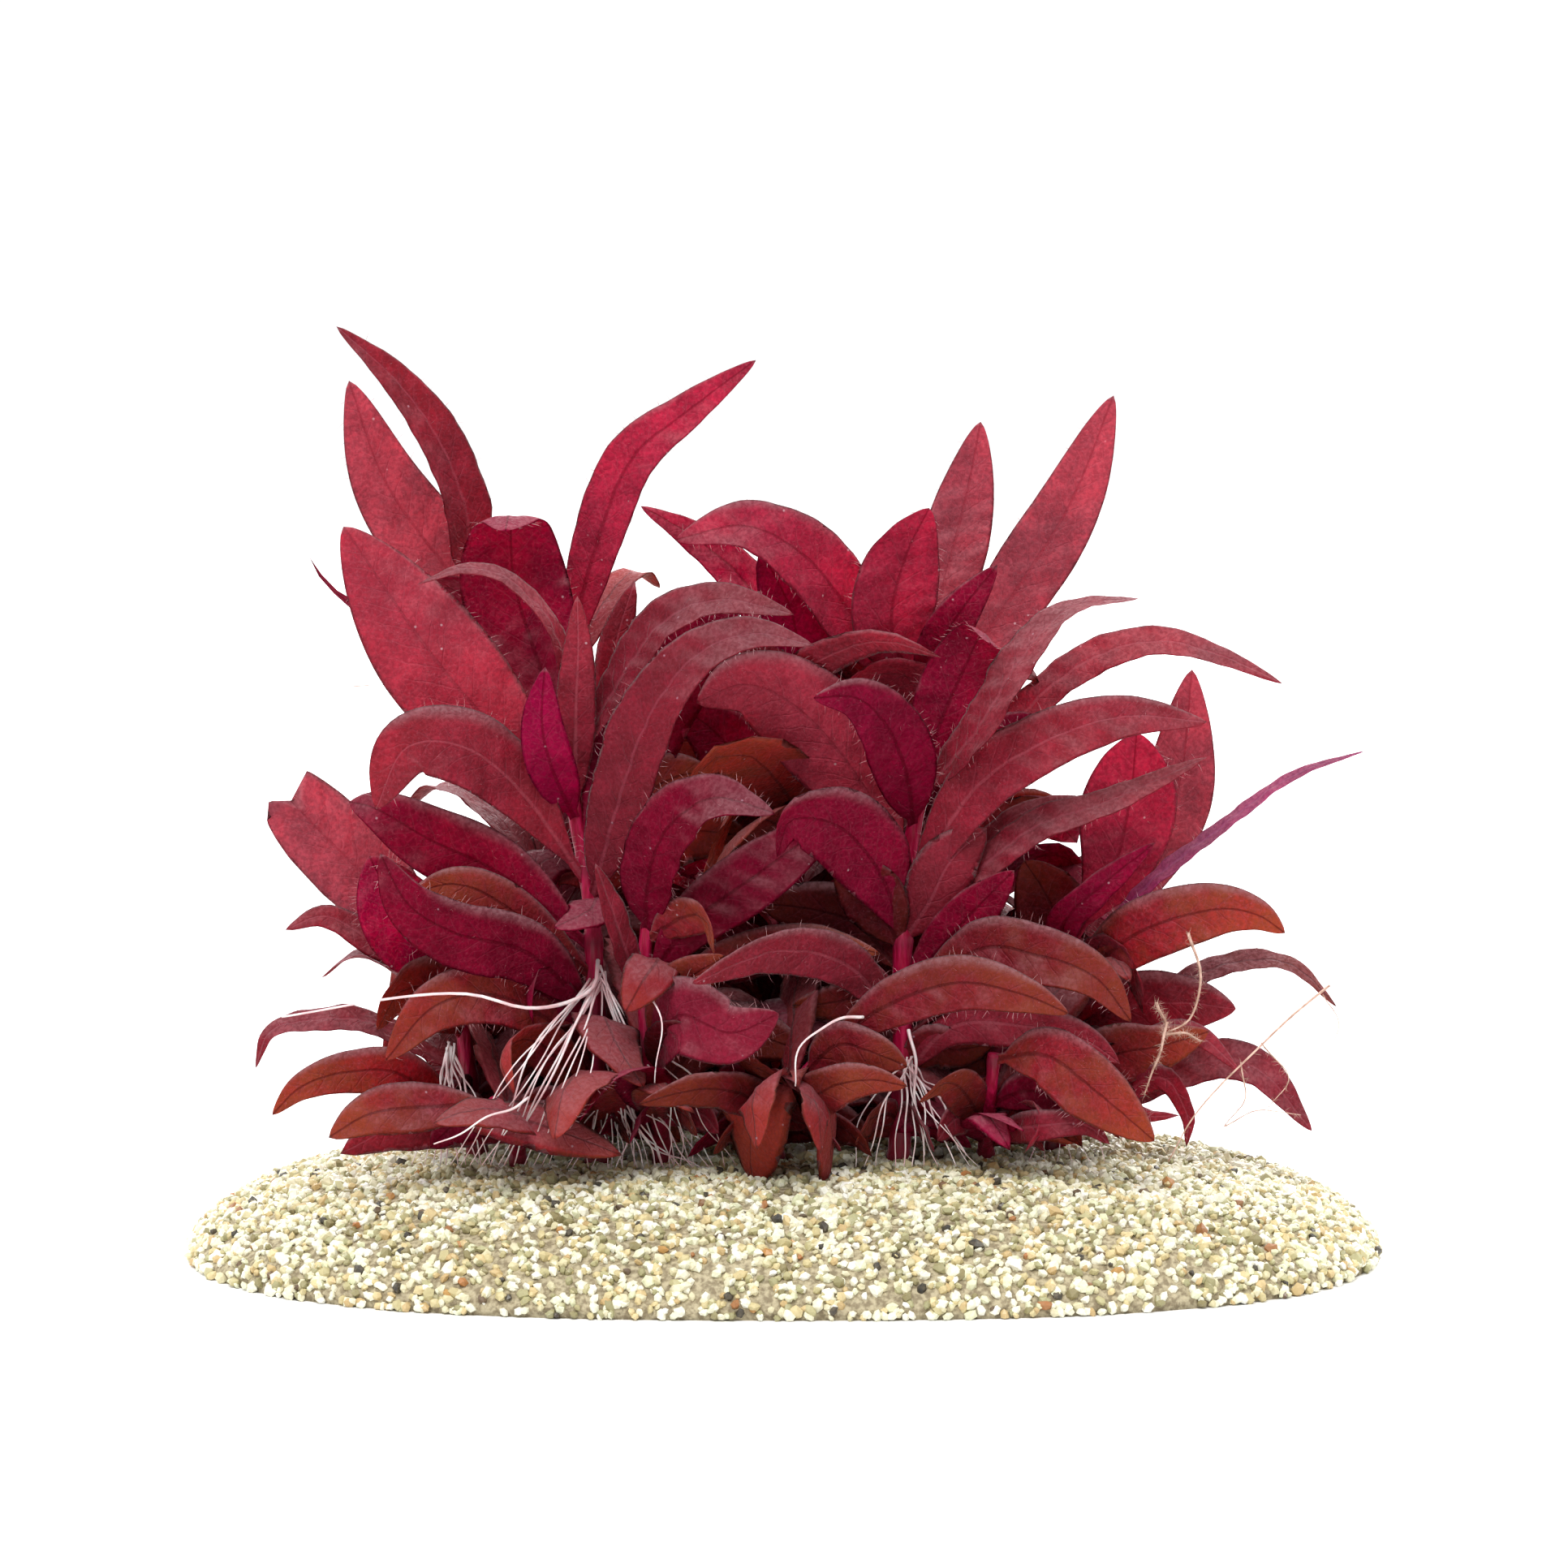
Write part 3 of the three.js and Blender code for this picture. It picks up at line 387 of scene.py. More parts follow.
# name, points [across, up, back] from the sand to the tip, radius at the sand, radius at the tip
STEMS = [
    ("left_stem",
     [[-23.1, 0, -8], [-23.2, 14, -7.5], [-23.8, 30, -6], [-25.8, 42, -4], [-26.6, 50, -3]], 1.4, 0.8),
    ("centre_stem",
     [[-15, 0, -7], [-15.8, 5, -11], [-16.8, 12, -15], [-17.3, 22, -15], [-16.9, 28, -15]], 1.3, 0.8),
    ("right_stem",
     [[14.3, 0, -7], [14.7, 13, -6.5], [14.6, 24, -6], [15.4, 36, -4], [17.2, 46, -3]], 1.5, 0.9),
    ("back_left_stem", [[-29, 0, 12], [-29, 22, 13], [-28, 44, 13], [-27, 62, 12]], 1.3, 0.8),
    ("back_centre_stem", [[-4, 0, 16], [-2, 18, 17], [2, 36, 16], [5, 52, 13]], 1.3, 0.8),
    ("back_right_stem", [[24, 0, 14], [23, 22, 15], [19, 42, 13], [15.5, 58, 9]], 1.4, 0.8),
    ("far_left_stem", [[-38, 0, 2], [-39, 9, 1], [-40, 18, 0], [-41, 24, -1]], 1.3, 0.8),
    ("far_right_stem", [[33, 0, 4], [33.5, 10, 5], [35, 19, 5], [35.5, 26, 4]], 1.3, 0.8),
    ("front_left_shoot", [[-33, 0, -8], [-34, 3, -14], [-35, 5, -18], [-36, 6, -21]], 1.1, 0.7),
    ("front_mid_shoot", [[-1, 0, -6], [-0.6, 3, -11], [0.6, 6.5, -16], [5, 12.5, -15]], 1.1, 0.7),
    ("front_right_shoot", [[25, 0, -4], [25.2, 3, -9], [25.6, 7.5, -13.5], [26, 12, -14.5]], 1.1, 0.7),
    ("back_left_shoot", [[-15, 0, 29], [-15.5, 15, 31], [-16, 30, 32]], 1.2, 0.8),
    ("back_right_shoot", [[11, 0, 29], [11.5, 14, 31], [12, 27, 32]], 1.2, 0.8),
]


def place(points):
    """Front view points in the part's frame: what stands further back is spread by its distance from
    the eye, and stands lower by the tilt of the view."""
    across, up, back = np.asarray(points, float).T
    spread = 1 + back / VIEW_DISTANCE
    rise = (up - EYE_LINE) * spread - back * np.sin(VIEW_TILT)
    return np.stack([across * spread, back, HEAP_HEIGHT + (EYE_LINE + rise) / np.cos(VIEW_TILT)], 1)


def even_route(points, steps):
    """Stations at even distances along the Catmull-Rom curve through some points, whose ends go on
    straight, and the direction of the curve at each."""
    given = np.asarray(points, float)
    given = np.vstack([2 * given[0] - given[1], given, 2 * given[-1] - given[-2]])
    spans = len(given) - 3
    at = np.linspace(0, spans, ROUTE_DETAIL * spans + 1)
    span = np.minimum(at.astype(int), spans - 1)
    part = (at - span)[:, None]
    a, b, c, d = given[span], given[span + 1], given[span + 2], given[span + 3]
    dense = (2 * b + (c - a) * part + (2 * a - 5 * b + 4 * c - d) * part ** 2
             + (3 * b - a - 3 * c + d) * part ** 3) / 2
    run = np.concatenate([[0], np.cumsum(np.linalg.norm(np.diff(dense, axis=0), axis=1))])
    even = np.linspace(0, run[-1], steps + 1)
    line = np.stack([np.interp(even, run, dense[:, axis]) for axis in range(3)], 1)
    ahead = np.gradient(line, axis=0)
    return line, ahead / np.linalg.norm(ahead, axis=1, keepdims=True)


def carried_side(ahead, first):
    """A side vector carried along a route without twisting: at each station it is the one before,
    less its share along the route."""
    sides = np.empty_like(ahead)
    now = np.asarray(first, float)
    for station, along in enumerate(ahead):
        now = now - along * (now @ along)
        now = now / np.linalg.norm(now)
        sides[station] = now
    return sides


def rod_rings(line, ahead, radius, sides, first=(1, 0, 0)):
    """Rings of a round rod: a circle of the radius at each station, square to the route."""
    side = carried_side(ahead, first)
    across = np.cross(ahead, side)
    turn = np.linspace(0, 2 * np.pi, sides, endpoint=False)[None, :, None]
    ring = np.cos(turn) * side[:, None] + np.sin(turn) * across[:, None]
    return line[:, None] + ring * np.asarray(radius)[:, None, None]


def stem_points(points):
    """A stem's points in the part's frame, from its planted end up."""
    above = place(points)
    planted = above[0].copy()
    planted[2] = HEAP_HEIGHT - ROOTED_DEPTH
    return np.vstack([planted, above])


def scatter_light(surface, weight, depths):
    """Light that scatters under the skin, to a depth in metres for red, green and blue."""
    surface.inputs["Subsurface Weight"].default_value = weight
    surface.inputs["Subsurface Radius"].default_value = depths
    surface.inputs["Subsurface Scale"].default_value = 1.0


def stem_flesh():
    """Crimson flesh with streaks along the stem, darker at the nodes and at the foot."""
    material, tree, surface = new_material("fleshy stem")
    at_node, at_foot = attribute_parts(tree, "stem")[1:]
    stretched = add_node(tree, "ShaderNodeVectorMath", object_place(tree), (1, 1, STREAK_STRETCH),
                         operation="MULTIPLY").outputs[0]
    streaks = ramp(tree, clouds(tree, stretched, 0.5), 0.35, 0.7)
    colour = mixed(tree, streaks, *(rgb(*red) for red in STEM_REDS))
    colour = mixed(tree, times(tree, at_node, 0.65), colour, rgb(*NODE_RED))
    colour = mixed(tree, times(tree, at_foot, 0.5), colour, rgb(*FOOT_RED))
    feed(tree, surface.inputs["Base Color"], colour)
    feed(tree, surface.inputs["Roughness"], ramp(tree, streaks, 0, 1, 0.3, 0.48))
    surface.inputs["Specular IOR Level"].default_value = 0.22
    scatter_light(surface, 0.25, (0.0012, 0.0002, 0.0003))
    bumped(tree, surface, streaks, 0.06)
    return material


stem_material = stem_flesh()
stem_routes = {}
for stem_name, stem_given, foot_radius, tip_radius in STEMS:
    line, ahead = even_route(stem_points(stem_given), STEM_STEPS)
    share = np.linspace(0, 1, STEM_STEPS + 1)
    run = share * np.linalg.norm(np.diff(line, axis=0), axis=1).sum()
    to_node = (run - ROOTED_DEPTH - NODE_SPACING / 2) % NODE_SPACING - NODE_SPACING / 2
    knot = np.exp(-(to_node / NODE_LENGTH) ** 2)
    foot = np.clip(1 - (run - ROOTED_DEPTH) / SCARRED_HEIGHT, 0, 1)
    scars = SCAR_DEPTH * np.cos(2 * np.pi * run / SCAR_SPACING) * foot
    radius = foot_radius + (tip_radius - foot_radius) * share
    radius = radius * (1 + NODE_SWELLING * knot + scars)
    stem_routes[stem_name] = line
    points, quads, triangles, facts = closed_tube(rod_rings(line, ahead, radius, STEM_SIDES))
    along_stem = np.stack([run * MM, knot, foot], 1)
    around = np.repeat(along_stem, STEM_SIDES, axis=0)
    facts["stem"] = np.concatenate([around, along_stem[:1], along_stem[-1:]])
    stem = make_piece(f"{stem_name}_flesh", (points, quads, triangles, facts), stem_material)
    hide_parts(stem_name)

# Large leaves
# Thin pointed leaves of soft red tissue, downy on top, each on a short stalk from a node of its stem.
# The light shines through them, so their colour is part reflected and part let through.
PETIOLE_WIDTH = 1.3
PETIOLE_SHARE = 0.06
TORN_WIDTH = 0.72
BULGE_POWER = 0.7
CUP_POWER = 1.5
LEAF_MIDDLE = 0.42
LEAF_MARGIN = 0.12
TIP_THINNING = 0.6
MARGIN_WAVE = 0.055
WAVE_POWER = 2.5
WAVE_COUNT = 2.3
SHORT_WAVE = 0.6
SHORT_WAVE_RATIO = 2.3
RIB_WIDTH = 0.3
RIB_HEIGHT = 0.26
FURROW_SHARE = 0.35
VEIN_SPACING = 2.9
VEIN_SLANT = 1.15
VEIN_BEND = 0.04
QUILT_HEIGHT = 0.09
CRINKLE_HEIGHT = 0.16
CRINKLE_LENGTH = 6.0
LARGE_GRID = (64, 9)
LARGE_SEED = 100
UNSET_PAINTED_SHADE = (0.1, 0.6)
FRONT = np.array([0.0, 1.0, 0.0])
# name, stem, share of the stem's height, tone, painted shade (how far its red is darkened: 0 is lit through,
# 1 is in shade), points [across, up, back] to the tip, width; then, where they aren't the usual 0, 0, 0.1 and
# 0.5, roll at the base and further twist to the tip (degrees), cup, place of the widest part
LEAVES = [
    ("left_tall_leaf", "back_left_stem", 0.98, "dusky", 0.5,
     [[-37.5, 72, 13], [-39.2, 79.5, 12], [-42.2, 87.2, 11], [-47.4, 94.6, 10], [-54.8, 101.4, 8]],
     6.8, 30, 5, 0.25, 0.45),
    ("left_pale_leaf", "back_left_stem", 0.86, "pale", 0.0,
     [[-39.6, 69.5, 19], [-48.6, 82, 21], [-53.3, 94.8, 21]], 10.5, 0, 5),
    ("left_big_leaf", "left_stem", 0.88, "rosy", 0.15,
     [[-33.6, 50, -8], [-43.1, 61, -8], [-54.1, 77, -5]], 14, 5, 5, -0.1),
    ("left_folded_leaf", "left_stem", 0.97, "crimson", 0.25,
     [[-30.1, 60, 2], [-33.1, 70, 4], [-33.6, 78, 1], [-34.2, 76.5, -4.5]], 13.5, 0, 0, 0.15, 0.55),
    ("left_arched_leaf", "left_stem", 0.7, "dusky", 0.25,
     [[-32.6, 44.6, -10], [-39.6, 50, -15], [-46.6, 49.8, -17], [-50.3, 42.3, -18]], 9.4, 15, 15, 0.2, 0.58),
    ("left_veined_leaf", "left_stem", 0.56, "crimson", 0.35,
     [[-34.6, 34, -8], [-43.6, 38.5, -9.5], [-50, 42.2, -9], [-53.6, 43.2, -6]], 9, 5, 10),
    ("torn_leaf", "far_left_stem", 0.9, "pale", 0.0,
     [[-48.6, 31, 6], [-56.6, 39, 8], [-62.1, 44.8, 9]], 11, 0, 0, -0.1, 0.6),
    ("left_round_leaf", "far_left_stem", 0.98, "magenta", 0.0,
     [[-44.6, 25.5, -6], [-48.1, 30.5, -7], [-51.1, 36.5, -6]], 10.5),
    ("left_crimson_leaf", "left_stem", 0.42, "crimson", 0.6,
     [[-31.6, 24.5, -15], [-40.6, 27, -19], [-46.4, 30.6, -20], [-49.8, 36.8, -18.5]], 8.6, 5, 10, 0.15),
    ("left_brown_leaf", "far_left_stem", 0.66, "rust", 0.5,
     [[-43.6, 20, -8], [-47.6, 19.6, -12], [-50.4, 15, -14]], 9, 20, 10),
    ("left_orange_leaf", "left_stem", 0.34, "rust", 0.4,
     [[-34.6, 19, -14], [-43, 18, -19], [-49.3, 11.2, -22]], 7.5, 25, 10, 0.15),
    ("left_whip_leaf", "far_left_stem", 0.5, "dusky", 0.4,
     [[-50.6, 15.6, 2], [-57.6, 16.2, 1], [-63.4, 14.8, 0], [-65.4, 10.2, 0]], 4, 50, 0, 0.1, 0.45),
    ("left_low_leaf", "far_left_stem", 0.2, "rust", 0.2,
     [[-46.6, 9, -11], [-53.6, 9.8, -14], [-59.6, 8, -15], [-63.4, 4.4, -15]], 6, 25, 5),
    ("front_folded_leaf", "left_stem", 0.14, "rust", 0.35,
     [[-24.6, 9.3, -20.5], [-27.2, 7.2, -27.5], [-28.4, 1.4, -31.5]], 11, 10, 0, 0.35),
    ("centre_tall_leaf", "back_left_stem", 0.95, "lit", 0.1,
     [[-23.2, 74, 8], [-18.8, 85, 6], [-11.6, 91.2, 5], [-3.4, 97.3, 4]], 6.8, -15, -10, 0.2, 0.45),
    ("centre_purple_leaf", "back_centre_stem", 0.97, "magenta", 0.2,
     [[-2.6, 67, 17], [-9.6, 74.6, 18], [-17.6, 79.5, 18]], 6.5, 20, 10, 0.1, 0.45),
    ("centre_arching_leaf", "back_right_stem", 0.97, "lit", 0.1,
     [[8.4, 66, 6], [2.9, 73, 3], [-4.6, 77, 0], [-13.4, 75.3, -2]], 9.5, 10, 40, 0.15, 0.45),
    ("centre_upper_curl_leaf", "left_stem", 0.95, "dusky", 0.55,
     [[-19.6, 59, -9], [-14.4, 65.6, -12], [-7.6, 68, -14], [1.2, 66.2, -16]], 6.6, -50, -5, 0.2, 0.45),
    ("centre_lower_curl_leaf", "left_stem", 0.66, "dusky", 0.6,
     [[-20.4, 43, -13], [-16.6, 53.5, -18], [-11, 61, -20], [-4, 63.8, -21], [3.7, 62.4, -21]],
     9, -20, -35, 0.15, 0.4),
    ("centre_broad_leaf", "right_stem", 0.8, "rosy", 0.0,
     [[8.4, 47, -6], [1.9, 54.5, -9], [-4.6, 57.6, -11], [-10.8, 55.4, -12]], 12.5, 5, 10, -0.1),
    ("old_round_leaf", "back_centre_stem", 0.82, "amber", 0.0,
     [[-2.2, 46.5, 6], [-6.8, 41, 2], [-10.4, 33, -2]], 15, 0, 0, 0.15),
    ("centre_front_leaf", "centre_stem", 0.96, "crimson", 0.6,
     [[-16.6, 34, -19], [-14.2, 40, -23], [-8.6, 43.6, -26], [-1.1, 41.7, -27]], 9, -15, -72, 0.15, 0.42),
    ("centre_right_leaf", "centre_stem", 0.8, "crimson", 0.5,
     [[-11.6, 28, -17], [-3.6, 34, -15], [7.6, 42, -10.5]], 8, -5, -10),
    ("centre_grey_leaf", "right_stem", 0.4, "dusky", 0.35,
     [[8.4, 22.6, -14], [-0.6, 24.8, -22], [-11.4, 20.8, -28]], 6.4, 15, 5),
    ("centre_round_leaf", "centre_stem", 0.5, "lit", 0.45,
     [[-13.2, 16.6, -22], [-6.6, 14.6, -25], [-0.6, 17, -25]], 9.5, -55, 0, 0.15),
    ("right_tall_leaf", "back_right_stem", 0.9, "pale", 0.0,
     [[28.4, 69, 13], [35.2, 80, 14], [40.4, 93, 13]], 9, -10),
    ("right_pale_leaf", "back_right_stem", 0.98, "pale", 0.05,
     [[19.4, 69, 15], [22.4, 81, 19], [24.1, 89.8, 20]], 8.5),
    ("right_heart_leaf", "back_right_stem", 0.99, "lit", 0.15,
     [[13.2, 65, 3.5], [14.8, 73, 3], [17.8, 79.3, 1]], 10.5),
    ("right_swept_leaf", "right_stem", 0.96, "dusky", 0.45,
     [[23.8, 52, -12.5], [29, 60.5, -12.5], [35, 66.8, -9.5], [43.6, 68.2, -7]], 7, -50, -5, 0.15, 0.45),
    ("right_folded_leaf", "right_stem", 0.99, "crimson", 0.3,
     [[18.9, 52, -6], [21.9, 59, -7], [24.2, 63.7, -9.5], [25.4, 62.6, -14]], 9, -5, 0, 0.15),
    ("right_front_leaf", "right_stem", 0.88, "magenta", 0.65,
     [[15, 46.8, -10], [12.6, 52.6, -15], [8.8, 56, -18], [3.6, 56, -20]], 8.5, 5, 35, 0.15, 0.45),
    ("right_far_arch_leaf", "back_right_stem", 0.72, "dusky", 0.1,
     [[30.4, 55, 6], [38.4, 61, 4], [46.4, 62.9, 3], [54, 61, 2], [61.4, 57.7, 2]], 5.4, -40, -10, 0.1, 0.4),
    ("right_long_leaf", "right_stem", 0.7, "dusky", 0.3,
     [[22.6, 43.6, -10], [31, 50, -13], [41.4, 53.6, -14], [52.1, 53, -13]], 8, -25, -10, 0.1, 0.45),
    ("right_purple_tip_leaf", "right_stem", 0.64, "dusky", 0.5,
     [[23, 33.8, -8], [31, 40, -10], [40, 43.2, -11], [52.1, 48.7, -9]], 5, -45, 0, 0.1, 0.42),
    ("right_back_leaf", "far_right_stem", 0.93, "pale", 0.05,
     [[43.4, 35, 12], [48.4, 44.5, 14], [50.2, 59.5, 15]], 9.5),
    ("right_round_leaf", "far_right_stem", 0.99, "lit", 0.0,
     [[40.6, 35, 3], [42.6, 43.5, 4], [43.4, 51.8, 2]], 12, 0, 0, 0.1, 0.62),
    ("right_needle_leaf", "far_right_stem", 0.84, "violet", 0.1,
     [[43.6, 31.6, -2], [53.4, 39.6, -3], [62.4, 46.2, -3], [71.6, 49.5, -4]], 2.8, -60, 0, 0.1, 0.4),
    ("right_orange_leaf", "far_right_stem", 0.8, "rust", 0.1,
     [[43.4, 26.8, -6], [52.4, 29.8, -9], [58, 29.4, -10], [61.9, 27, -10]], 8, -15, -5),
    ("right_brown_arch_leaf", "far_right_stem", 0.5, "dark", 0.0,
     [[47.4, 19.8, 8], [55.4, 23.2, 8], [62.6, 23, 7], [68.4, 17.8, 6]], 4.5, -60, 0, 0.1, 0.45),
    ("right_dusky_leaf", "far_right_stem", 0.52, "dusky", 0.4,
     [[41.6, 17.4, 0], [48.6, 18.4, -2], [55.9, 17.6, -2]], 8.5, -10, 0, 0.1, 0.55),
    ("right_large_front_leaf", "front_mid_shoot", 0.97, "rust", 0.5,
     [[12.4, 17.8, -19], [21.4, 20.8, -21], [29.4, 19.4, -22], [35.2, 17, -22.5]], 7, -15, -5),
    ("right_arching_leaf", "right_stem", 0.42, "rust", 0.55,
     [[23.4, 24.6, -12], [31.4, 24.2, -15], [38.4, 21.5, -16.5], [42.9, 16, -17.5]], 7.6, -30, -10, 0.15),
    ("right_low_big_leaf", "front_right_shoot", 0.97, "rust", 0.1,
     [[32.4, 11.8, -20], [38.6, 7.4, -23], [45.9, 1.2, -25]], 8.5, -20, 5, 0.15),
    ("right_low_outer_leaf", "far_right_stem", 0.24, "dusky", 0.4,
     [[50.4, 10.4, 2], [58.4, 10.2, 0], [65.4, 2.4, -2]], 6, -45),
]
TEAR_ACROSS = (-1.0, -0.62, -0.35, -0.2, 0.0, 0.25, 0.5, 1.0)
TEAR_DEPTH = (0.02, 0.07, 0.09, 0.13, 0.11, 0.05, 0.0, 0.05)


def turned(vectors, axes, angles):
    """Vectors turned about axes square to them."""
    angles = np.asarray(angles, float)[..., None]
    return vectors * np.cos(angles) + np.cross(axes, vectors) * np.sin(angles)


def half_width(share, width, widest, torn=False):
    """Half of a leaf's width: a narrow stalk, then a sine bulge whose top is at the widest share."""
    along = np.clip((share - PETIOLE_SHARE) / (1 - PETIOLE_SHARE), 0, 1)
    bulge = np.sin(np.pi * along ** (np.log(0.5) / np.log(widest))).clip(0) ** BULGE_POWER
    if torn:
        bulge = np.where(along > widest, TORN_WIDTH + (1 - TORN_WIDTH) * bulge, bulge)
    return np.maximum(PETIOLE_WIDTH / 2 * (1 - along), width / 2 * bulge)


def leaf_body(points, first_side, width, twist, cup, widest, seed, grid=LARGE_GRID, torn=False, depth=None):
    """A closed leaf: its midrib is the route, its margins are lifted by the cup and waved by sines, the
    tissue stands up between veins that slant forward from the midrib, and the midrib is a furrow
    above and a ridge below. Its attributes, for the material, are the place on the blade, the share of
    its length with its upper side and its depth of painted shade, and how high a margin stands over the
    midrib, from which the material paints a sheen along the upper margin."""
    rng = np.random.default_rng(seed)
    stations, half_columns = grid
    line, ahead = even_route(points, stations)
    length = np.linalg.norm(np.diff(line, axis=0), axis=1).sum()
    share = np.linspace(0, 1, stations + 1)
    side = turned(carried_side(ahead, first_side), ahead, np.radians(twist) * share)
    facing = np.cross(ahead, side)
    if not torn:
        line, ahead, side, facing, share = line[:-1], ahead[:-1], side[:-1], facing[:-1], share[:-1]
    column = np.linspace(1, -1, 2 * half_columns + 1)
    reach = np.concatenate([column, column[-2:0:-1]])[None, :]
    upper = np.concatenate([np.ones(2 * half_columns + 1), -np.ones(2 * half_columns - 1)])[None, :]
    share = share[:, None]
    half = half_width(share, width, widest, torn)
    across = half * reach
    level = np.zeros_like(across)
    run = share * length + level
    blade = np.minimum(half / (width / 2), 1)
    phases = rng.uniform(0, 2 * np.pi, 6)
    wave = MARGIN_WAVE * half * np.abs(reach) ** WAVE_POWER * (
        np.sin(2 * np.pi * WAVE_COUNT * share + phases[0] + np.sign(reach))
        + SHORT_WAVE * np.sin(2 * np.pi * SHORT_WAVE_RATIO * WAVE_COUNT * share + phases[1] - np.sign(reach)))
    vein = (run - VEIN_SLANT * np.abs(across) + VEIN_BEND * across ** 2) / VEIN_SPACING
    quilt = QUILT_HEIGHT * (np.abs(np.sin(np.pi * vein)) ** 0.6 - 0.6) * blade * (1 - np.abs(reach) ** 4)
    crinkle = CRINKLE_HEIGHT * blade * (
        np.sin(run * 2 * np.pi / CRINKLE_LENGTH + phases[2]) * np.sin(across * 1.3 + phases[3])
        + 0.5 * np.sin(run * 4.1 / CRINKLE_LENGTH * np.pi + across * 1.1 + phases[4]))
    rib = np.exp(-(across / (RIB_WIDTH * (1.2 - share))) ** 2) * (1 - 0.8 * share) * blade ** 0.3
    middle = LEAF_MARGIN + (LEAF_MIDDLE - LEAF_MARGIN) * (1 - TIP_THINNING * share)
    thick = middle * (1 - reach ** 2) / 2
    lift = cup * half * np.abs(reach) ** CUP_POWER + wave + quilt + crinkle
    lift = lift + np.where(upper > 0, thick - FURROW_SHARE * RIB_HEIGHT * rib, -thick - RIB_HEIGHT * rib)
    shorter = np.interp(reach, TEAR_ACROSS, TEAR_DEPTH) * share ** 3 * length if torn else level
    rings = (line[:, None] + side[:, None] * across[..., None] + facing[:, None] * lift[..., None]
             - ahead[:, None] * shorter[..., None])
    points, quads, triangles, facts = closed_tube(rings)
    if not torn:
        points[-1] = points[-1] + ahead[-1] * length / stations
    # painted shade: the depth is stored for the material to darken the leaf's colours by how far it stands in
    # shade; where unset it is drawn at random
    if depth is None:
        depth = rng.uniform(*UNSET_PAINTED_SHADE)
    for key, columns in (("blade", (run * MM, across * MM, np.abs(reach))), ("life", (share, upper, depth)),
                         ("crest_sheen", (side[:, 2:] * reach, 0, 0))):
        values = np.stack([part + level for part in columns], -1).reshape(-1, 3)
        ends = np.stack([values[: reach.shape[1]].mean(0), values[-reach.shape[1]:].mean(0)])
        facts[key] = np.concatenate([values, ends])
    return points, quads, triangles, facts


def rolled_side(points, roll):
    """The side vector at a leaf's base: square to its route and to the line of sight, then rolled."""
    start = points[1] - points[0]
    ahead = start / np.linalg.norm(start)
    flat = np.cross(ahead, FRONT)
    flat = flat / np.linalg.norm(flat)
    return turned(flat, ahead, np.radians(roll))


def stem_spot(stem_name, share):
    """The spot at a share of a stem's length."""
    line = stem_routes[stem_name]
    at = share * (len(line) - 1)
    return np.array([np.interp(at, np.arange(len(line)), line[:, axis]) for axis in range(3)])


def grown_leaf(stem_name, share, points, seed, width, roll=0, twist=0, cup=0.1, widest=0.5, **settings):
    """A leaf body that grows from a stem through the points of its row in a table."""
    route = np.vstack([stem_spot(stem_name, share), place(points)])
    return leaf_body(route, rolled_side(route, roll), width, twist, cup, widest, seed, **settings)


TISSUE_GRAIN = 0.5
PAINTED_GLINT_SIZE = 0.32
PATCH_SIZE = 4.5
BROAD_SIZE = 13.0
WANDER_SIZE = 3.0
NET_SIZE = 1.1
FLECK_SPACING = 1.6
RIB_AT_STALK = 0.42
RIB_AT_TIP = 0.14
HALVES_EDGE = 0.4
HALF_SHADE = 0.1
BROAD_SHADE = 0.24
UNDERSIDE_GLOW = 0.35
PAINTED_SHEEN_STRENGTH = 0.4
CREST_SHEEN_STRENGTH = 0.65
OLD_FACE = (0.42, 0.080, 0.034)
OLD_GLOW = (0.85, 0.12, 0.035)
VEIN_AND_GLINT_TINT = (0.95, 0.34, 0.44)
MARGIN_RED = (0.10, 0.01, 0.02)
FLECK_FACE = (0.80, 0.55, 0.60)
FLECK_GLOW = (0.80, 0.50, 0.56)
PAINTED_SHADE_FACE = (0.50, 0.20, 0.35)
PAINTED_SHADE_GLOW = (0.42, 0.05, 0.30)
PAINTED_SHEEN_TINT = (0.50, 0.27, 0.30)
CREST_SHEEN_GLOW = (0.16, 0.06, 0.07)
DIM_GLOW = (0.06, 0.006, 0.012)


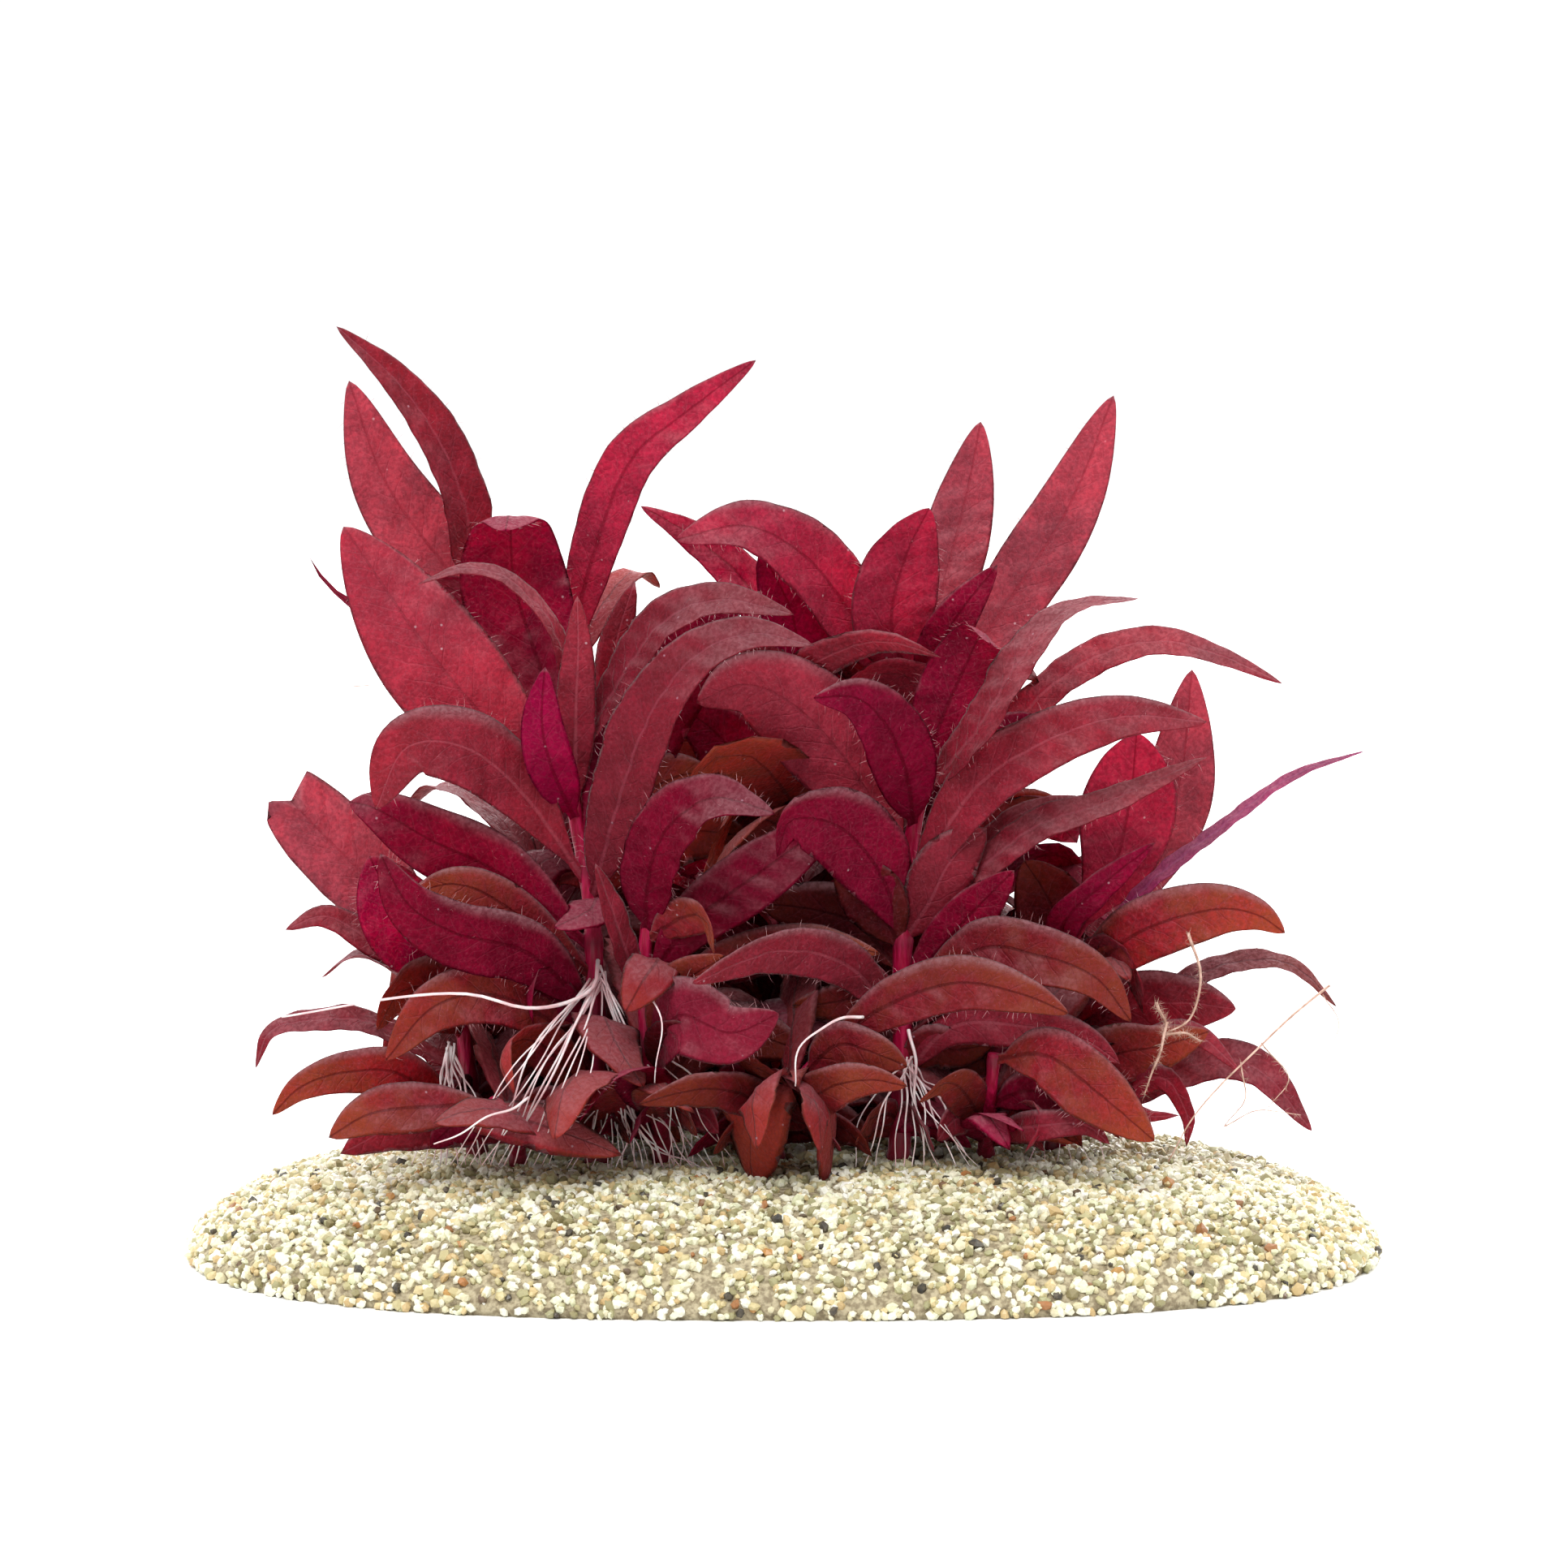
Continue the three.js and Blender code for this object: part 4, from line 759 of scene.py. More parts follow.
def leaf_tissue():
    """What every leaf shares: deeper patches, a fine grain with painted glints, a midrib and slanting side
    veins with a net between them, white flecks, rust that grows towards the tip, a depth of painted shade
    that darkens both colours, and a painted sheen of the silvery down where the leaf looks up and along
    the upper margin of an arch."""
    tree = bpy.data.node_groups.new("leaf tissue", "ShaderNodeTree")
    for key, kind in (("Blade", "Color"), ("Deep", "Color"), ("Rib", "Color"), ("Through", "Color"),
                      ("Flecks", "Float"), ("Rust", "Float")):
        tree.interface.new_socket(key, in_out="INPUT", socket_type=f"NodeSocket{kind}")
    for key, kind in (("Colour", "Color"), ("Through", "Color"), ("Roughness", "Float"), ("Height", "Float")):
        tree.interface.new_socket(key, in_out="OUTPUT", socket_type=f"NodeSocket{kind}")
    given = add_node(tree, "NodeGroupInput").outputs
    result = add_node(tree, "NodeGroupOutput").inputs
    where = object_place(tree)
    along, across, reach = attribute_parts(tree, "blade")
    share, upper, depth = attribute_parts(tree, "life")
    aside = sums(tree, "ABSOLUTE", across)
    grain = ramp(tree, clouds(tree, where, TISSUE_GRAIN, 4.0), 0.32, 0.68)
    # painted glints: small specks lightened towards the tint, standing for glints of light on the surface
    painted_glint = ramp(tree, clouds(tree, where, PAINTED_GLINT_SIZE, 1.0), 0.60, 0.72)
    patches = ramp(tree, clouds(tree, where, PATCH_SIZE, 3.0), 0.36, 0.66)
    wander = times(tree, clouds(tree, where, WANDER_SIZE), 0.5)

    slanted = less(tree, along, times(tree, aside, VEIN_SLANT))
    phase = plus(tree, sums(tree, "DIVIDE", slanted, VEIN_SPACING * MM), wander)
    off_vein = sums(tree, "ABSOLUTE", less(tree, sums(tree, "FRACT", phase), 0.5))
    vein = times(tree, ramp(tree, off_vein, 0.0, 0.08, 1.0, 0.0), ramp(tree, reach, 0.1, 0.95, 1.0, 0.2))
    rib_edge = ramp(tree, share, 0.0, 1.0, RIB_AT_STALK * MM, RIB_AT_TIP * MM)
    rib = ramp(tree, sums(tree, "DIVIDE", aside, rib_edge), 0.3, 1.0, 1.0, 0.0)
    net = add_node(tree, "ShaderNodeTexVoronoi", feature="DISTANCE_TO_EDGE")
    cells = add_node(tree, "ShaderNodeTexVoronoi")
    for pattern, size in ((net, NET_SIZE), (cells, FLECK_SPACING)):
        feed(tree, pattern.inputs["Vector"], where)
        pattern.inputs["Scale"].default_value = 1 / (size * MM)
    net_lines = ramp(tree, net.outputs["Distance"], 0.0, 0.09, 1.0, 0.0)
    drawn = add_node(tree, "ShaderNodeSeparateColor", cells.outputs["Color"]).outputs[0]
    chosen = sums(tree, "GREATER_THAN", plus(tree, drawn, given["Flecks"]), 1.0)
    fleck = times(tree, ramp(tree, cells.outputs["Distance"], 0.05, 0.13, 1.0, 0.0), chosen)
    old = times(tree, given["Rust"], plus(tree, ramp(tree, share, 0.45, 1.0), times(tree, patches, 0.7)))
    old = sums(tree, "MINIMUM", old, 1.0)
    # the painted glints, the lighter veins and the net, all lightened towards the tint
    light = sums(tree, "MAXIMUM", times(tree, painted_glint, 0.32), times(tree, vein, 0.24))
    light = sums(tree, "MAXIMUM", light, times(tree, net_lines, 0.14))
    tint = mixed(tree, 0.35, given["Blade"], rgb(*VEIN_AND_GLINT_TINT))

    # painted sheen: a silvery grey mixed in where the leaf's normal faces up towards the top light and along
    # the upper margin of an arch, where the light let through is also dimmed
    normal = add_node(tree, "ShaderNodeNewGeometry").outputs["Normal"]
    rise = add_node(tree, "ShaderNodeSeparateXYZ", normal).outputs[2]
    crest_sheen = plus(tree, attribute_parts(tree, "crest_sheen")[0], times(tree, wander, 0.4))
    crest_sheen = ramp(tree, crest_sheen, 0.62, 1.05, 0.0, CREST_SHEEN_STRENGTH)
    painted_sheen = sums(tree, "MAXIMUM", ramp(tree, rise, 0.15, 0.8, 0.0, PAINTED_SHEEN_STRENGTH), crest_sheen)
    painted_sheen = times(tree, painted_sheen, ramp(tree, grain, 0, 1, 1.0, 0.5))

    colour = mixed(tree, times(tree, patches, 0.7), given["Blade"], given["Deep"])
    colour = mixed(tree, times(tree, grain, 0.55), colour, given["Deep"])
    colour = mixed(tree, old, colour, rgb(*OLD_FACE))
    colour = mixed(tree, ramp(tree, upper, -0.5, 0.5, UNDERSIDE_GLOW, 0.0), colour, given["Through"])
    colour = mixed(tree, light, colour, tint)
    colour = mixed(tree, times(tree, rib, 0.6), colour, given["Rib"])
    colour = mixed(tree, times(tree, ramp(tree, reach, 0.93, 1.0), 0.35), colour, rgb(*MARGIN_RED))
    colour = mixed(tree, times(tree, fleck, 0.8), colour, rgb(*FLECK_FACE))
    # painted shade: the leaf's depth darkens the colour it reflects here and the light it lets through below
    colour = mixed(tree, depth, colour, rgb(*PAINTED_SHADE_FACE), "MULTIPLY")
    feed(tree, result["Colour"], mixed(tree, painted_sheen, colour, rgb(*PAINTED_SHEEN_TINT)))

    half = ramp(tree, across, -HALVES_EDGE * MM, HALVES_EDGE * MM, 0.0, HALF_SHADE)
    broad = ramp(tree, clouds(tree, where, BROAD_SIZE, 1.0), 0.38, 0.62, 0.0, BROAD_SHADE)
    dim = plus(tree, times(tree, grain, 0.40), times(tree, patches, 0.20))
    dim = plus(tree, dim, plus(tree, half, broad))
    through = mixed(tree, old, given["Through"], rgb(*OLD_GLOW))
    through = mixed(tree, dim, through, rgb(*DIM_GLOW))
    through = mixed(tree, times(tree, light, 0.5), through, tint)
    through = mixed(tree, times(tree, rib, 0.5), through, given["Rib"])
    through = mixed(tree, times(tree, fleck, 0.6), through, rgb(*FLECK_GLOW))
    through = mixed(tree, depth, through, rgb(*PAINTED_SHADE_GLOW), "MULTIPLY")
    feed(tree, result["Through"], mixed(tree, crest_sheen, through, rgb(*CREST_SHEEN_GLOW)))

    feed(tree, result["Roughness"], ramp(tree, grain, 0.0, 1.0, 0.38, 0.60))
    height = less(tree, times(tree, grain, 0.3), times(tree, vein, 0.5))
    height = less(tree, height, times(tree, net_lines, 0.15))
    feed(tree, result["Height"], less(tree, height, times(tree, rib, 0.5)))
    return tree


tissue_group = leaf_tissue()
LET_THROUGH = 0.5
DOWN_ROUGHNESS = 0.3
TISSUE_RELIEF = 0.18
RELIEF_STRENGTH = 0.9


def leaf_material(name, blade, deep, rib, through, flecks, rust, gloss, down):
    """Leaf tissue of one tone: part of its light is reflected and part let through."""
    material, tree, surface = new_material(name)
    tissue = add_node(tree, "ShaderNodeGroup", node_tree=tissue_group)
    for key, value in (("Blade", rgb(*blade)), ("Deep", rgb(*deep)), ("Rib", rgb(*rib)),
                       ("Through", rgb(*through)), ("Flecks", flecks), ("Rust", rust)):
        tissue.inputs[key].default_value = value
    feed(tree, surface.inputs["Base Color"], tissue.outputs["Colour"])
    feed(tree, surface.inputs["Roughness"], tissue.outputs["Roughness"])
    surface.inputs["Specular IOR Level"].default_value = gloss
    surface.inputs["Sheen Weight"].default_value = down
    surface.inputs["Sheen Roughness"].default_value = DOWN_ROUGHNESS
    bumped(tree, surface, tissue.outputs["Height"], TISSUE_RELIEF, RELIEF_STRENGTH)
    glow = add_node(tree, "ShaderNodeBsdfTranslucent")
    feed(tree, glow.inputs["Color"], tissue.outputs["Through"])
    both = add_node(tree, "ShaderNodeMixShader", LET_THROUGH, surface.outputs[0], glow.outputs[0])
    feed(tree, tree.nodes["Material Output"].inputs["Surface"], both.outputs[0])
    return material


# tone and material slot; blade, deeper patches, ribs, light let through;
# share of white flecks, rust, gloss, silvery down
LEAF_TONES = [
    ("crimson", "crimson_leaf",
     (0.38, 0.004, 0.050), (0.22, 0.002, 0.026), (0.15, 0.001, 0.014), (0.80, 0.022, 0.150),
     0.14, 0.0, 0.07, 0.0),
    ("dusky", "dusky_leaf",
     (0.46, 0.030, 0.064), (0.26, 0.014, 0.032), (0.56, 0.110, 0.15), (0.78, 0.040, 0.090),
     0.08, 0.05, 0.20, 0.18),
    ("pale", "pale_leaf",
     (0.43, 0.075, 0.110), (0.29, 0.040, 0.062), (0.34, 0.034, 0.060), (0.80, 0.140, 0.205),
     0.12, 0.0, 0.2, 0.05),
    ("lit", "crimson_leaf",
     (0.46, 0.026, 0.074), (0.30, 0.012, 0.040), (0.22, 0.004, 0.024), (0.88, 0.080, 0.210),
     0.14, 0.0, 0.12, 0.12),
    # a lit copy of the pale tone: brighter as painted light for leaves that stand in shade, and more
    # saturated as their own red
    ("rosy", "pale_leaf",
     (0.54, 0.046, 0.088), (0.38, 0.024, 0.050), (0.34, 0.034, 0.060), (0.88, 0.072, 0.145),
     0.12, 0.0, 0.20, 0.05),
    ("magenta", "magenta_leaf",
     (0.43, 0.003, 0.066), (0.26, 0.002, 0.034), (0.18, 0.001, 0.018), (0.92, 0.012, 0.185),
     0.3, 0.0, 0.07, 0.0),
    ("violet", "magenta_leaf",
     (0.44, 0.060, 0.200), (0.30, 0.036, 0.140), (0.46, 0.120, 0.300), (0.84, 0.140, 0.440),
     0.1, 0.0, 0.15, 0.1),
    ("rust", "rust_leaf",
     (0.40, 0.024, 0.044), (0.20, 0.010, 0.020), (0.12, 0.008, 0.009), (0.82, 0.036, 0.074),
     0.1, 0.75, 0.16, 0.12),
    # the old leaves' own orange, made brighter than the rust tone as painted light for leaves inside the
    # plant
    ("amber", "rust_leaf",
     (0.62, 0.060, 0.050), (0.38, 0.030, 0.026), (0.16, 0.010, 0.010), (1.00, 0.110, 0.080),
     0.1, 0.85, 0.16, 0.12),
    # painted backlight: a brighter copy of the magenta tone for young leaves that the light shines through
    ("bright", "magenta_leaf",
     (0.55, 0.003, 0.095), (0.36, 0.002, 0.055), (0.24, 0.001, 0.025), (1.00, 0.012, 0.270),
     0.3, 0.0, 0.07, 0.0),
    # painted shade for the leaves that fill the shaded inside and foot, and the own colour of the dark brown
    # arching leaf
    ("dark", "dusky_leaf",
     (0.18, 0.007, 0.016), (0.09, 0.003, 0.008), (0.07, 0.003, 0.006), (0.40, 0.008, 0.026),
     0.04, 0.3, 0.12, 0.03),
]
leaf_materials = {}
for tone_name, tone_slot, *tone_values in LEAF_TONES:
    leaf_materials[tone_name] = leaf_material(f"{tone_name} leaf", *tone_values)

large_blades = []
for number, (name, stem_name, share, tone, depth, points, *shape) in enumerate(LEAVES):
    torn = name == "torn_leaf"
    body = grown_leaf(stem_name, share, points, LARGE_SEED + number, *shape, torn=torn, depth=depth)
    leaf = make_piece(f"{name}_blade", body, leaf_materials[tone])
    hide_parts(name)
    large_blades.append(body[0])

# Small leaves
# Young and lower leaves from the same nodes, too small to be taken off one by one: they are joined
# into one piece for each tone. On the far side they spread out and arch over.
SMALL_GRID = (30, 5)
SIDE_SEED = 300
SPREADING_SEED = 400
SPREADING_WIDTH = 0.38
SPREADING_CUP = -0.15
SPREADING_REACH = (0.35, 0.72, 1.0)
SPREADING_RISE = ((0.2, 0.35), (0.22, 0.65), (0.0, 0.75))
SPREADING_TONES = ("crimson", "dusky", "pale", "crimson", "rust")
# stem, share of the stem's height, tone, then the columns of the large leaves from their points on
SIDE_LEAVES = [
    ("left_stem", 0.9, "dusky",
     [[-27.4, 62, -7], [-33.2, 70, -8], [-39, 71.8, -9], [-45.1, 69.9, -9]], 3.4, 60, 0, 0.1, 0.45),
    ("left_stem", 0.86, "dusky", [[-25.6, 55, -8], [-25.3, 62, -9], [-25.4, 68.5, -9]], 5, 0, 0, 0.1, 0.45),
    ("left_stem", 0.84, "bright",
     [[-28.6, 47.5, -12.5], [-29.8, 53, -14], [-29.4, 59.8, -14]], 6, 0, 0, 0.2),
    ("left_stem", 0.5, "rust", [[-34.6, 30.4, -12.4], [-40.6, 33, -14], [-46.6, 31.6, -15]], 6, 10, 5),
    ("left_stem", 0.22, "rust", [[-30.2, 13.4, -15], [-34.8, 12.2, -20], [-33.4, 6.8, -23]], 6.5, 0, 0, 0.2),
    ("left_stem", 0.35, "rust", [[-22.4, 16.4, -15.5], [-20.6, 12.8, -21.5], [-17.4, 7.8, -25]], 8.5),
    ("left_stem", 0.6, "crimson", [[-23, 31, -11], [-24.4, 29.4, -15], [-28.4, 27.6, -17]], 6.5),
    ("far_left_stem", 0.86, "dusky", [[-50, 25.4, 1], [-56.4, 29, 1], [-61.6, 27.4, 0]], 4, 30),
    ("centre_stem", 0.72, "dusky", [[-20.8, 28.4, -19.5], [-23.3, 35.6, -21]], 4, 40, 0, 0.2),
    ("centre_stem", 0.6, "rust", [[-12.6, 20.4, -20], [-7.2, 24.2, -24]], 6.5, -10),
    ("right_stem", 0.62, "crimson",
     [[12, 34, -10], [7, 40, -15], [1, 41, -19], [-1, 36.4, -21]], 10.5, 25, 0, 0.2),
    ("centre_stem", 0.85, "rust", [[-15.6, 23.6, -20], [-17.4, 21, -22.5], [-19.6, 17.2, -23.5]], 6.5, 20),
    ("centre_stem", 0.95, "rust", [[-12.4, 29, -19], [-9.6, 28.6, -22], [-8.6, 24.2, -23.5]], 5.5),
    ("centre_stem", 0.7, "rust", [[-8, 23.4, -13], [3, 26, -11], [12, 24.4, -10.5]], 5, -10),
    ("right_stem", 0.3, "dusky",
     [[21, 15.4, -10], [30, 15.4, -13], [37, 13.8, -15], [41.6, 10.8, -15.5]], 6, -30),
    ("right_stem", 0.6, "dark", [[10.6, 32, -9], [6.4, 36.4, -12]], 8),
    ("right_stem", 0.5, "crimson", [[22.4, 28.6, -10], [28.4, 34.8, -13]], 6.5, 0, 0, 0.2),
    ("back_right_stem", 0.93, "crimson", [[20.4, 64.5, -2], [26.2, 72.3, -2]], 6, -10),
    ("back_right_stem", 0.58, "dusky", [[24, 37, 3], [29, 41.6, 0], [36, 44, -1]], 3.8, -60),
    ("back_right_stem", 0.5, "dusky", [[21, 31, 6], [22.4, 37.4, 3]], 9),
    ("far_right_stem", 0.97, "dark", [[32.4, 31.6, -1], [29.6, 36, -4]], 9, 0, 0, 0.2),
    ("far_right_stem", 0.9, "magenta", [[34.4, 28, -5], [38.6, 32.4, -8], [45.7, 38.2, -8.5]], 4.5, -20),
    ("far_right_stem", 0.3, "rust", [[40, 11.4, -3.5], [46.5, 13, -7], [52.6, 14.8, -8]], 8, -10),
    ("far_right_stem", 0.2, "rust", [[31.4, 7.4, -4], [27, 8.6, -9.5], [19.8, 6.8, -12]], 6, 10),
    ("far_right_stem", 0.4, "dusky", [[45.4, 13.8, -4], [51, 14.4, -6], [56.4, 9.8, -7]], 3.6, -40),
    ("far_right_stem", 0.16, "dusky", [[45.4, 9, -6], [49.8, 5, -9], [49.9, 0.4, -10]], 3.6, -30),
    ("front_left_shoot", 0.95, "rust", [[-44, 5.4, -22], [-51, 4.6, -24], [-56.4, 1.6, -24]], 6.5, 20),
    ("front_left_shoot", 0.8, "rust", [[-33, 4.4, -26], [-38, 5, -29], [-43.4, 3.4, -30]], 7, 15),
    ("front_mid_shoot", 0.7, "rust", [[-3.4, 7.6, -26], [-3.4, 0.2, -30]], 8, 0, 0, 0.15),
    ("front_mid_shoot", 0.6, "rust", [[3.6, 6, -25], [4.6, -0.4, -28]], 7.6),
    ("front_mid_shoot", 0.4, "rust", [[4.5, 7.2, -21], [10, 8.8, -23], [15.3, 8, -22.5]], 6, -10),
    ("front_mid_shoot", 0.85, "rust", [[6.4, 13, -19], [10.5, 12.4, -21], [15.3, 10.4, -20]], 6, -20),
    ("front_mid_shoot", 0.5, "rust", [[-5, 7, -21], [-11, 7.6, -25], [-18, 5.8, -27]], 5.6, 10),
    ("front_mid_shoot", 0.55, "crimson", [[-3, 7.6, -19.5], [-6.8, 9.4, -21], [-9.4, 5.2, -23]], 4.6, 10),
    ("front_right_shoot", 0.5, "rust", [[21, 8.4, -19], [16.6, 6, -22]], 5.6, 10),
    ("front_right_shoot", 0.4, "magenta", [[26.6, 4.2, -18.5], [29.8, 2.4, -21.5]], 6),
    ("front_right_shoot", 0.45, "dusky", [[31, 3, -18.6], [37, 3.2, -21.4], [40.4, 0.8, -22.6]], 4, -30),
    ("front_right_shoot", 0.7, "crimson", [[31, 7.4, -16], [37, 3.4, -17]], 5.6, -20),
    ("back_centre_stem", 0.34, "dark", [[5.4, 23, 9], [9.4, 29, 5]], 8),
    ("back_centre_stem", 0.22, "dark", [[-8.4, 17, 8], [-11.4, 23, 3]], 8),
    ("back_right_stem", 0.22, "dark", [[23.4, 16, 7], [19.4, 21, 2]], 8),
    ("back_centre_stem", 0.9, "crimson", [[-4, 48, 8], [-10, 53, 4], [-14, 55, 2]], 9),
    ("back_centre_stem", 0.98, "crimson", [[5, 56, 13], [6.6, 61.6, 12], [8, 67, 11.5]], 8.5),
    ("back_centre_stem", 0.95, "dusky", [[-0.6, 55, 10], [-2.6, 60, 8], [-3.4, 65, 6]], 8),
    ("left_stem", 0.8, "rust", [[-20, 42, -4], [-14, 46, -3], [-9, 47, -2]], 8),
    ("back_left_stem", 0.6, "dark", [[-23, 38, 9], [-17, 42, 6], [-11, 43, 4]], 9),
    ("back_left_stem", 0.35, "dark", [[-23, 22, 14], [-18, 26, 15], [-13, 25, 15]], 8),
    ("back_centre_stem", 0.48, "dusky", [[-6, 28, 12], [-10, 33, 9]], 8),
]
# stem, then for each leaf its share of the stem's height, heading (degrees from +X, 90 is straight back)
# and length
SPREADING_LEAVES = [
    ("back_left_stem", [(0.42, 80, 21), (0.54, 150, 22), (0.68, 60, 22), (0.8, 120, 20), (0.92, 45, 17)]),
    ("back_centre_stem", [(0.46, 130, 21), (0.58, 40, 20), (0.7, 95, 22), (0.84, 160, 17), (0.93, 60, 18)]),
    ("back_right_stem", [(0.24, 40, 17), (0.4, 85, 20), (0.52, 20, 20), (0.64, 110, 21), (0.8, 65, 20)]),
    ("back_left_shoot", [(0.5, 160, 16), (0.78, 100, 16), (0.97, 200, 14)]),
    ("back_right_shoot", [(0.55, 60, 16), (0.8, 95, 15), (0.97, 20, 14)]),
    ("far_left_stem", [(0.35, 130, 18), (0.62, 175, 18)]),
    ("far_right_stem", [(0.3, 75, 18), (0.62, 40, 18)]),
]


def spreading_route(stem_name, share, heading, length):
    """A leaf that rises from its stem and arches over: the higher it grows, the steeper it stands."""
    turn = np.radians(heading)
    out = np.array([np.cos(turn), np.sin(turn), 0])
    base = stem_spot(stem_name, share)
    steps = [
        base + length * (out * reach + np.array([0, 0, low + more * share]))
        for reach, (low, more) in zip(SPREADING_REACH, SPREADING_RISE)
    ]
    return np.vstack([base, steps]), np.array([out[1], -out[0], 0])


def joined_bodies(bodies):
    """Several bodies as one."""
    sizes = np.cumsum([0] + [len(body[0]) for body in bodies])
    points = np.concatenate([body[0] for body in bodies])
    quads = np.concatenate([body[1] + size for body, size in zip(bodies, sizes)])
    triangles = np.concatenate([body[2] + size for body, size in zip(bodies, sizes)])
    facts = {key: np.concatenate([body[3][key] for body in bodies]) for key in bodies[0][3]}
    return points, quads, triangles, facts


def leaf_pieces(prefix, leaves):
    """One piece for each tone that has leaves."""
    for tone, bodies in leaves.items():
        if bodies:
            name = f"{prefix}_{tone}_leaves"
            make_piece(name, joined_bodies(bodies), leaf_materials[tone])


small_leaves = {tone: [] for tone in leaf_materials}
for number, (stem_name, share, tone, points, *shape) in enumerate(SIDE_LEAVES):
    body = grown_leaf(stem_name, share, points, SIDE_SEED + number, *shape, grid=SMALL_GRID)
    small_leaves[tone].append(body)
spreading = [(stem_name, *leaf) for stem_name, leaves in SPREADING_LEAVES for leaf in leaves]
for number, (stem_name, share, heading, length) in enumerate(spreading):
    route, side = spreading_route(stem_name, share, heading, length)
    tone = SPREADING_TONES[number % len(SPREADING_TONES)]
    small_leaves[tone].append(leaf_body(
        route, side, length * SPREADING_WIDTH, 0, SPREADING_CUP, 0.5, SPREADING_SEED + number, SMALL_GRID))
leaf_pieces("small", small_leaves)

# Inner leaves
# The leaves that fill the plant's inside and its foot, darker than the outer ones by painted shade: first
# those that show between the front leaves, then a whorl of four at every node, then leaves that lie on the
# sand.
INNER_GRID = (16, 3)
UNDER_SEED = 600
INNER_SEED = 7
INNER_START = 0.7
INNER_SPACING = 5.5
INNER_TOP = 0.94
INNER_TRIES = 8
INNER_TURN = 40
INNER_LENGTH = (14.0, 22.0)
INNER_WIDTH = 0.42
INNER_ROLL = 50
INNER_CUP = 0.1
INNER_PAINTED_SHADES = (0.2, 0.9)
INNER_BACK = 3
INNER_TONES = ("dark", "crimson", "dusky", "crimson", "magenta", "dark")
LOW_HEIGHT = 16.0
LOW_FRONT = 9
LOW_TONES = ("rust", "dark", "crimson", "rust", "dusky", "dark")
LYING_HEIGHT = (2.6, 6.5)
LYING_TOP = 0.9
LYING_TURN = 12
LYING_LENGTH = (8.0, 12.0)
LYING_WIDTH = 0.46
LYING_ROLL = 35
LYING_CUP = 0.12
LYING_PAINTED_SHADES = (0.1, 0.8)
LYING_ARCH = ((0.3, 0.16), (0.7, 0.12), (1.0, -0.1))
# headings, in degrees, of the leaves that lie on the sand round each stem; the front shoots have none
# within the spared angle of straight in front, which is 270
LYING_HEADINGS = (190, 218, 250, 290, 322, 350, 20, 160)
LYING_SPARED = 25
STRAIGHT_IN_FRONT = 270
